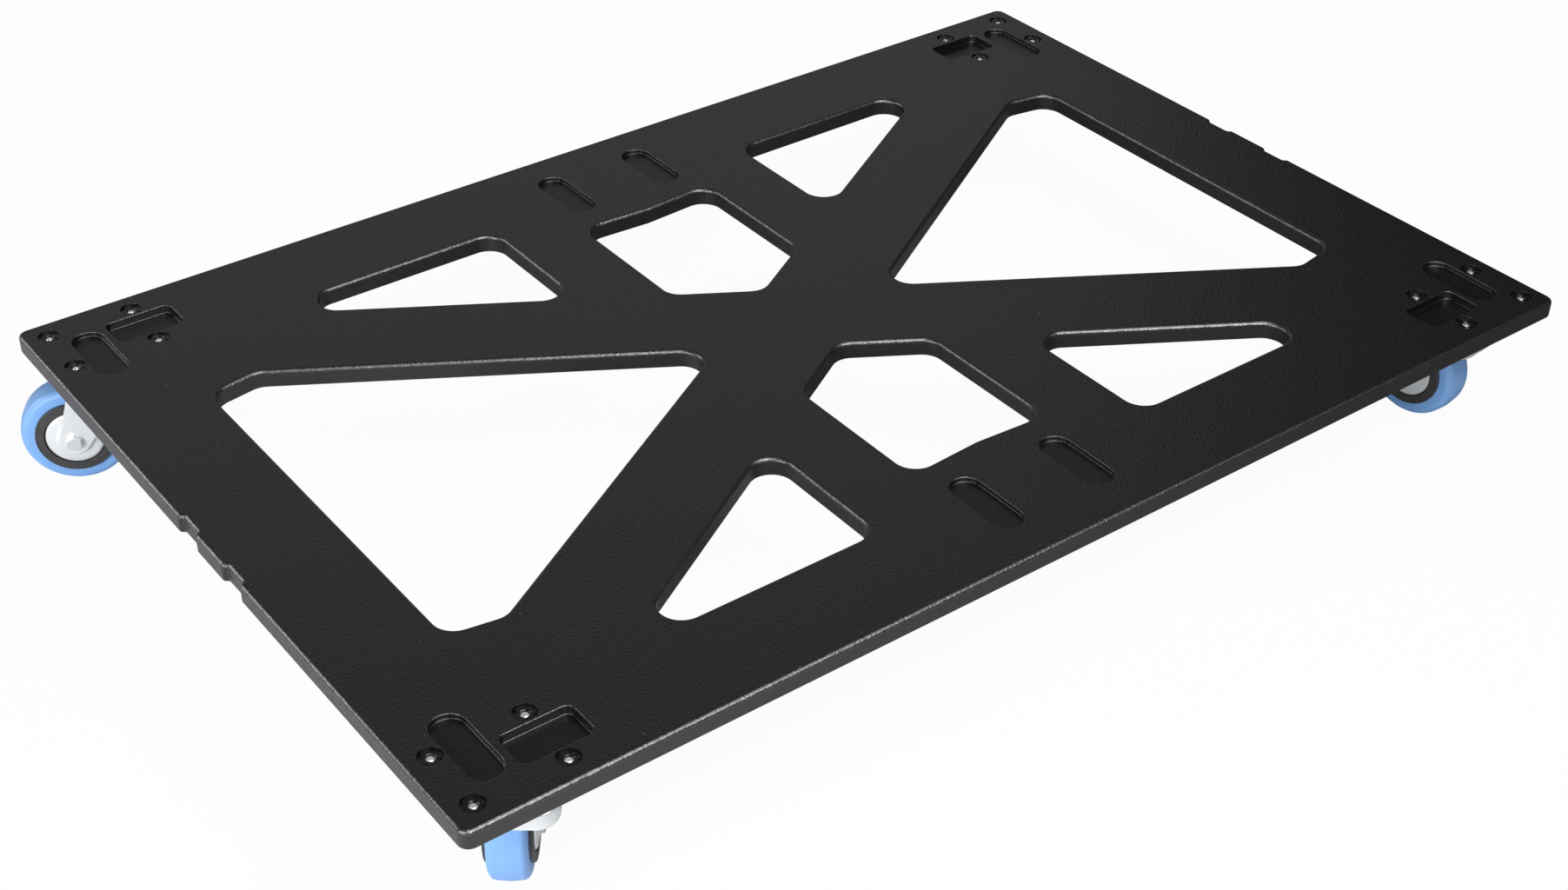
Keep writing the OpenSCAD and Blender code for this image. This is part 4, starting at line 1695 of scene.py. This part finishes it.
@dataclass
class Axle:
    """Axle bolt, nut, sleeve and the two thread guards."""

    bolt_r: float = 4.0
    flats: float = 13.0
    head_h: float = 5.3
    nut_h: float = 6.8
    stub: float = 3.0
    tip_r: float = 3.1
    tip_h: float = 0.5
    thread_pitch: float = 1.25
    thread_depth: float = 0.45
    thread_turns: int = 8
    leg_in: float = 22.5
    leg_out: float = 25.5
    sleeve_r: float = 6.0
    sleeve_edge_r: float = 0.3
    seat_gap: float = 0.05
    guard_r: float = 26.5
    guard_t: float = 1.2
    guard_edge_r: float = 0.8
    seat_r: float = 13.0
    cone_w: float = 4.0
    cone_d: float = 1.6
    cone_bend: float = 0.4
    dish_w: float = 3.0
    dish_d: float = 2.4
    dish_bend: float = 0.8
    bend: float = 0.6
    rim_place: float = 16.8

    def bolt(self) -> Shape:
        """The bolt along Z, with its head and ridged thread.

        Returns:
            The bolt.
        """
        start = -self.leg_out - self.nut_h - self.stub
        crest, root = self.bolt_r, self.bolt_r - self.thread_depth
        low = start + self.tip_h
        end = low + self.thread_turns * self.thread_pitch
        profile = [
            (self.tip_r, start),
            (root, low),
            *thread(low, self.thread_pitch, self.thread_turns, [(crest, 0.4), (crest, 0.52), (root, 0.92)]),
            (crest, end + 0.4 * self.thread_pitch),
            (crest, self.leg_out),
        ]
        return Shape().lathe(profile, Facets.BOLT, closed=False).hexagon(
            self.flats, self.leg_out, self.leg_out + self.head_h, chamfer_top=True
        )

    def nut(self) -> Shape:
        """The hexagon nut."""
        return Shape().hexagon(self.flats, -self.leg_out - self.nut_h, -self.leg_out, chamfer_top=False)

    def sleeve(self) -> Shape:
        """The tube that the bearings sit on."""
        radii, heights = (self.bolt_r + self.seat_gap, self.sleeve_r), (-self.leg_in, self.leg_in)
        return tube(radii, heights, self.sleeve_edge_r, Facets.SMALL, steps=2)

    def guards(self) -> Shape:
        """Both dished discs beside the bearings.

        Returns:
            Both discs as one shape.
        """
        bore, t, bend = self.sleeve_r + self.seat_gap, self.guard_t, self.bend
        seat = self.leg_in - t
        cone, dish = seat - self.cone_d, seat - self.dish_d
        corners = [
            (bore, seat),
            (self.seat_r, seat),
            (self.seat_r + self.cone_w, cone),
            (self.guard_r - self.dish_w, dish),
            (self.guard_r - t, self.rim_place),
            (self.guard_r, self.rim_place),
            (self.guard_r, self.rim_place + t + bend),
            (self.guard_r - self.dish_w + self.dish_bend, dish + t),
            (self.seat_r + self.cone_w + self.cone_bend, cone + t),
            (self.seat_r + bend, self.leg_in),
            (bore, self.leg_in),
        ]
        return two_sided(fillet(corners, self.guard_edge_r), Facets.DISC)


@dataclass
class Wheel:
    """Bearings, core and tyre."""

    wheel_r: float = 50.0
    tyre_w: float = 32.0
    shoulder_r: float = 6.5
    shoulder_steps: int = 10
    crown_rise: float = 0.8
    crown_steps: int = 12
    line_h: float = 0.15
    line_top: float = 0.2
    line_foot: float = 0.5
    line_clear: float = 0.7
    bead: Point2 = (0.3, 0.2)
    bead_w: float = 2.5
    core_r: float = 36.0
    core_w: float = 39.0
    core_edge: float = 0.8
    groove: tuple[Point2, ...] = ((2.4, 0.0), (2.1, 0.35), (1.7, 0.35), (1.4, 0.0))
    recess_r: float = 28.0
    recess_d: float = 3.0
    recess_foot: float = 0.6
    recess_edge: float = 0.5
    bearing_r: float = 16.0
    bearing_w: float = 10.0
    bearing_edge_r: float = 0.25
    shelf: float = 3.0
    bore_r: float = 6.05
    seat_gap: float = 0.05
    race_w: float = 2.2
    race_slope: float = 0.2
    seal_d: float = 0.5

    def tyre(self) -> Shape:
        """The crowned rubber ring with its mould line.

        Returns:
            The tyre.
        """
        half = self.tyre_w / 2
        bore = self.core_r + self.seat_gap
        shoulder = half - self.shoulder_r
        crown_r = self.wheel_r - self.line_h
        bead_in, bead_h = self.bead
        side = [(bore, -half + bead_h), (bore + bead_in, -half), (bore + self.bead_w, -half)]
        for k in range(self.shoulder_steps + 1):
            along, down = polar(self.shoulder_r, math.pi / 2 * k / self.shoulder_steps)
            side.append((self.wheel_r - self.crown_rise - self.shoulder_r + down, -shoulder - along))
        middle = []
        for k in range(1, self.crown_steps):
            place = shoulder * (2 * k / self.crown_steps - 1)
            if abs(place) > self.line_clear:
                middle.append((crown_r - (place / shoulder) ** 2 * self.crown_rise, place))
        line = [(crown_r, -self.line_foot), (self.wheel_r, -self.line_top)]
        middle = sorted(middle + line + flipped(line), key=lambda point: point[1])
        return Shape().lathe(side + middle + flipped(side), Facets.TYRE)

    def core(self) -> Shape:
        """The nylon core with its raised, grooved rim and recessed faces.

        Returns:
            The core.
        """
        face = self.core_w / 2
        recess = face - self.recess_d
        bore = self.bearing_r + self.seat_gap
        stop = recess - self.bearing_w
        side = [
            (self.bearing_r - self.shelf, stop),
            (bore, stop),
            (bore, recess),
            (self.recess_r - self.recess_foot, recess),
            (self.recess_r, recess + self.recess_foot),
            (self.recess_r, face - self.recess_edge),
            (self.recess_r + self.recess_edge, face),
            *((self.core_r - inset, face - depth) for inset, depth in self.groove),
            (self.core_r - self.core_edge, face),
            (self.core_r, face - self.core_edge),
        ]
        return Shape().lathe(side + flipped(side), Facets.CORE)

    def bearings(self) -> Shape:
        """Both ball bearings, with a shallow groove between their rings.

        Returns:
            Both bearings as one shape.
        """
        outer = self.core_w / 2 - self.recess_d
        inner, seal = outer - self.bearing_w, outer - self.seal_d
        seal_w = self.race_w + self.race_slope
        corners = [
            (self.bore_r, inner),
            (self.bearing_r, inner),
            (self.bearing_r, outer),
            (self.bearing_r - self.race_w, outer),
            (self.bearing_r - seal_w, seal),
            (self.bore_r + seal_w, seal),
            (self.bore_r + self.race_w, outer),
            (self.bore_r, outer),
        ]
        return two_sided(fillet(corners, self.bearing_edge_r, steps=2), Facets.RING)


@dataclass
class Caster:
    """One swivel caster with all its pieces."""

    corner: Corner
    pattern: Pattern = field(default_factory=Pattern)
    plate: TopPlate = field(default_factory=TopPlate)
    bearing: SwivelBearing = field(default_factory=SwivelBearing)
    fork: Fork = field(default_factory=Fork)
    axle: Axle = field(default_factory=Axle)
    wheel: Wheel = field(default_factory=Wheel)

    def build(self, shop: Workshop, row_tree: RepeatTree) -> None:
        """Make and dress the caster's pieces, each on its body.

        Args:
            shop: Makes and dresses the objects.
            row_tree: Tree that repeats the bearing balls.
        """
        stand = self.corner.value
        places = CasterPlaces(stand, self.pattern)
        plate, turned, axle = places.plate(), places.swivel(), places.axle()
        swivel, wheel = f"swivel_{stand.name}", f"wheel_{stand.name}"
        pieces: list[tuple[str, Callable[[], Shape], Matrix, Slot, str]] = [
            ("top_plate", lambda: self.plate.shape(self.pattern), plate, Slot.ZINC, "board"),
            ("kingpin", self.bearing.kingpin, plate, Slot.PALE_ZINC, "board"),
            ("lower_race", self.bearing.lower_race, plate, Slot.ZINC, "board"),
            ("dust_ring", self.bearing.dust_ring, turned, Slot.DUST_RING, swivel),
            ("axle_bolt", self.axle.bolt, axle, Slot.ZINC, swivel),
            ("axle_nut", self.axle.nut, axle, Slot.ZINC, swivel),
            ("axle_sleeve", self.axle.sleeve, axle, Slot.BEARING_STEEL, swivel),
            ("thread_guards", self.axle.guards, axle, Slot.PALE_ZINC, swivel),
            ("bearings", self.wheel.bearings, axle, Slot.BEARING_STEEL, wheel),
            ("wheel_core", self.wheel.core, axle, Slot.CORE, wheel),
            ("tyre", self.wheel.tyre, axle, Slot.TYRE, wheel),
        ]
        for name, make, place, slot, body in pieces:
            node = f"{name}_{stand.name}"
            shop.place(f"{node}_finished", make().mesh(node, place), slot, body, [node])
        steel = shop.materials[Slot.BEARING_STEEL]
        for name, mesh, slot in (
            ("fork", self.fork.mesh(turned), Slot.PALE_ZINC),
            ("race_balls", self.bearing.balls(row_tree, steel, turned), Slot.BEARING_STEEL),
        ):
            node = f"{name}_{stand.name}"
            shop.place(f"{node}_finished", mesh, slot, swivel, [node])


# The studio


@dataclass
class Camera:
    """The camera at the photograph's place. Lengths are metres, angles degrees."""

    place: Point3 = (-1.12589, -1.44286, 1.15099)
    aim: Point3 = (-0.13773, -0.15755, 0.0)
    roll: float = 0.823
    lens_mm: float = 53.078
    sensor_mm: float = 36.0
    clip_end: float = 50.0

    def build(self) -> None:
        """Make the camera and set it as the scene's."""
        data = bpy.data.cameras.new("camera")
        data.lens = self.lens_mm
        data.sensor_width = self.sensor_mm
        data.sensor_fit = "HORIZONTAL"
        data.clip_end = self.clip_end
        camera = bpy.data.objects.new("camera", data)
        ahead = (Vector(self.aim) - Vector(self.place)).normalized()
        level = ahead.cross(Vector((0.0, 0.0, 1.0))).normalized()
        above = level.cross(ahead)
        roll = math.radians(self.roll)
        right = level * math.cos(roll) + above * math.sin(roll)
        turn = Matrix((right, right.cross(ahead), -ahead)).transposed()
        camera.matrix_world = Matrix.Translation(self.place) @ turn.to_4x4()
        bpy.context.scene.collection.objects.link(camera)
        bpy.context.scene.camera = camera


@dataclass
class Lamp:
    """One soft area lamp, or a bright panel that only shows in reflections. Lengths are metres."""

    name: str
    place: Point3
    aim: Point3
    size: Point2
    power: float
    only_mirrored: bool = False

    def build(self) -> None:
        """Make the lamp."""
        data = bpy.data.lights.new(self.name, "AREA")
        data.shape = "RECTANGLE"
        data.size, data.size_y = self.size
        data.energy = self.power
        lamp = bpy.data.objects.new(self.name, data)
        lamp.location = self.place
        direction = Vector(self.aim) - Vector(self.place)
        lamp.rotation_euler = direction.to_track_quat("-Z", "Y").to_euler()
        lamp.visible_diffuse = not self.only_mirrored
        bpy.context.scene.collection.objects.link(lamp)


@dataclass
class Studio:
    """Pale floor, pale surroundings and soft lamps. Lengths are metres.

    The floor and the surroundings show nearly white to the camera, and dimmer in the paint's reflections,
    where the floor's level is painted light that falls off from left to right.
    """

    floor_size: float = 30.0
    floor_color: Point3 = (0.86, 0.86, 0.87)
    floor_white_share: float = 0.96
    # Level of the floor in reflections at the left and at the right: painted light that falls off towards +X.
    floor_mirror: Point2 = (1.12, 0.23)
    mirror_reach: float = 0.7
    world_strength: float = 0.08
    world_mirror: float = 0.03
    lamps: tuple[Lamp, ...] = (
        Lamp("front_top", (0.0, -1.3, 2.25), (-0.2, -0.3, 0.0), (2.4, 1.7), 56.0),
        Lamp("front_panel", (-0.3, -2.1, 1.4), (-0.1, -0.3, 0.0), (2.6, 0.6), 86.0, True),
        Lamp("back_left_panel", (-2.0, 1.75, 0.9), (-0.3, 0.0, 0.0), (1.3, 1.2), 27.0, True),
        Lamp("back_wall", (0.8, 2.4, 1.4), (0.0, 0.2, 0.0), (3.8, 2.4), 8.3),
        Lamp("left", (-3.0, -0.9, 0.8), (-0.4, 0.0, -0.1), (1.6, 1.4), 72.0),
    )

    def build(self, floor_height: float) -> None:
        """Make the floor, the surroundings and the lamps.

        Args:
            floor_height: Height of the floor, in metres.
        """
        scene = bpy.context.scene
        scene.view_settings.view_transform = "Standard"
        self._floor(floor_height)
        scene.world = self._world()
        for lamp in self.lamps:
            lamp.build()

    def _floor(self, height: float) -> None:
        """Make the floor, which looks nearly white to the camera and keeps the board's shadow.

        Args:
            height: Height of the floor, in metres.
        """
        half = self.floor_size / 2
        mesh = bpy.data.meshes.new("floor")
        corners = [(-half, -half, height), (half, -half, height), (half, half, height), (-half, half, height)]
        mesh.from_pydata(corners, [], [(0, 1, 2, 3)])
        floor = new_object("floor", mesh)
        mesh.materials.append(self._floor_material())
        floor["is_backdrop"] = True

    def _floor_material(self) -> bpy.types.Material:
        """The floor's material, whose level in reflections falls from left to right as painted light.

        Returns:
            The material.
        """
        material, build = new_material("pale_floor")
        path = build.add("ShaderNodeLightPath")
        spot = build.add("ShaderNodeTexCoord")
        along = build.add("ShaderNodeSeparateXYZ", {"Vector": spot.outputs["Object"]})
        right = build.add(
            "ShaderNodeMapRange",
            {"Value": along.outputs["X"], "From Min": -self.mirror_reach, "From Max": self.mirror_reach},
            interpolation_type="SMOOTHSTEP",
        )
        left_level, right_level = self.floor_mirror
        fall = build.math("MULTIPLY", right.outputs["Result"], right_level - left_level)
        dimmed = build.math("ADD", fall, left_level - 1.0)
        level = build.math("ADD", build.math("MULTIPLY", dimmed, path.outputs["Is Glossy Ray"]), 1.0)
        tone = build.mix(1.0, (*self.floor_color, 1.0), level, "MULTIPLY")
        matt = build.add("ShaderNodeBsdfDiffuse", {"Color": tone})
        white = build.add("ShaderNodeEmission", {"Color": WHITE, "Strength": 1.0})
        share = build.math("MULTIPLY", path.outputs["Is Camera Ray"], self.floor_white_share)
        shaders = {"Fac": share, 1: matt.outputs["BSDF"], 2: white.outputs["Emission"]}
        mixed = build.add("ShaderNodeMixShader", shaders)
        build.add("ShaderNodeOutputMaterial", {"Surface": mixed.outputs["Shader"]})
        return material

    def _world(self) -> bpy.types.World:
        """Make the surroundings: white to the camera, soft as a light and dim in reflections.

        Returns:
            The world.
        """
        world = bpy.data.worlds.new("surroundings")
        world.use_nodes = True
        world.node_tree.nodes.clear()
        build = NodeBuilder(world.node_tree)
        path = build.add("ShaderNodeLightPath")
        strength = self.world_strength
        for ray, level in (("Is Camera Ray", 1.0), ("Is Glossy Ray", self.world_mirror)):
            change = build.math("MULTIPLY", path.outputs[ray], level - self.world_strength)
            strength = build.math("ADD", change, strength)
        back = build.add("ShaderNodeBackground", {"Color": WHITE, "Strength": strength})
        build.add("ShaderNodeOutputWorld", {"Surface": back.outputs["Background"]})
        return world


def main() -> None:
    """Build the board's looks and its studio."""
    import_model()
    cad_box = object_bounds()
    logging.basicConfig(level=logging.INFO, format="%(name)s %(message)s")
    floor_height = float(cad_box[0][2])
    Camera().build()
    shop = Workshop()
    Deck().build(shop)
    Fasteners().build(shop, bolt_pattern_tree())
    row_tree = circle_row_tree()
    for corner in Corner:
        Caster(corner).build(shop, row_tree)
    Studio().build(floor_height)


if __name__ == "__main__":
    main()
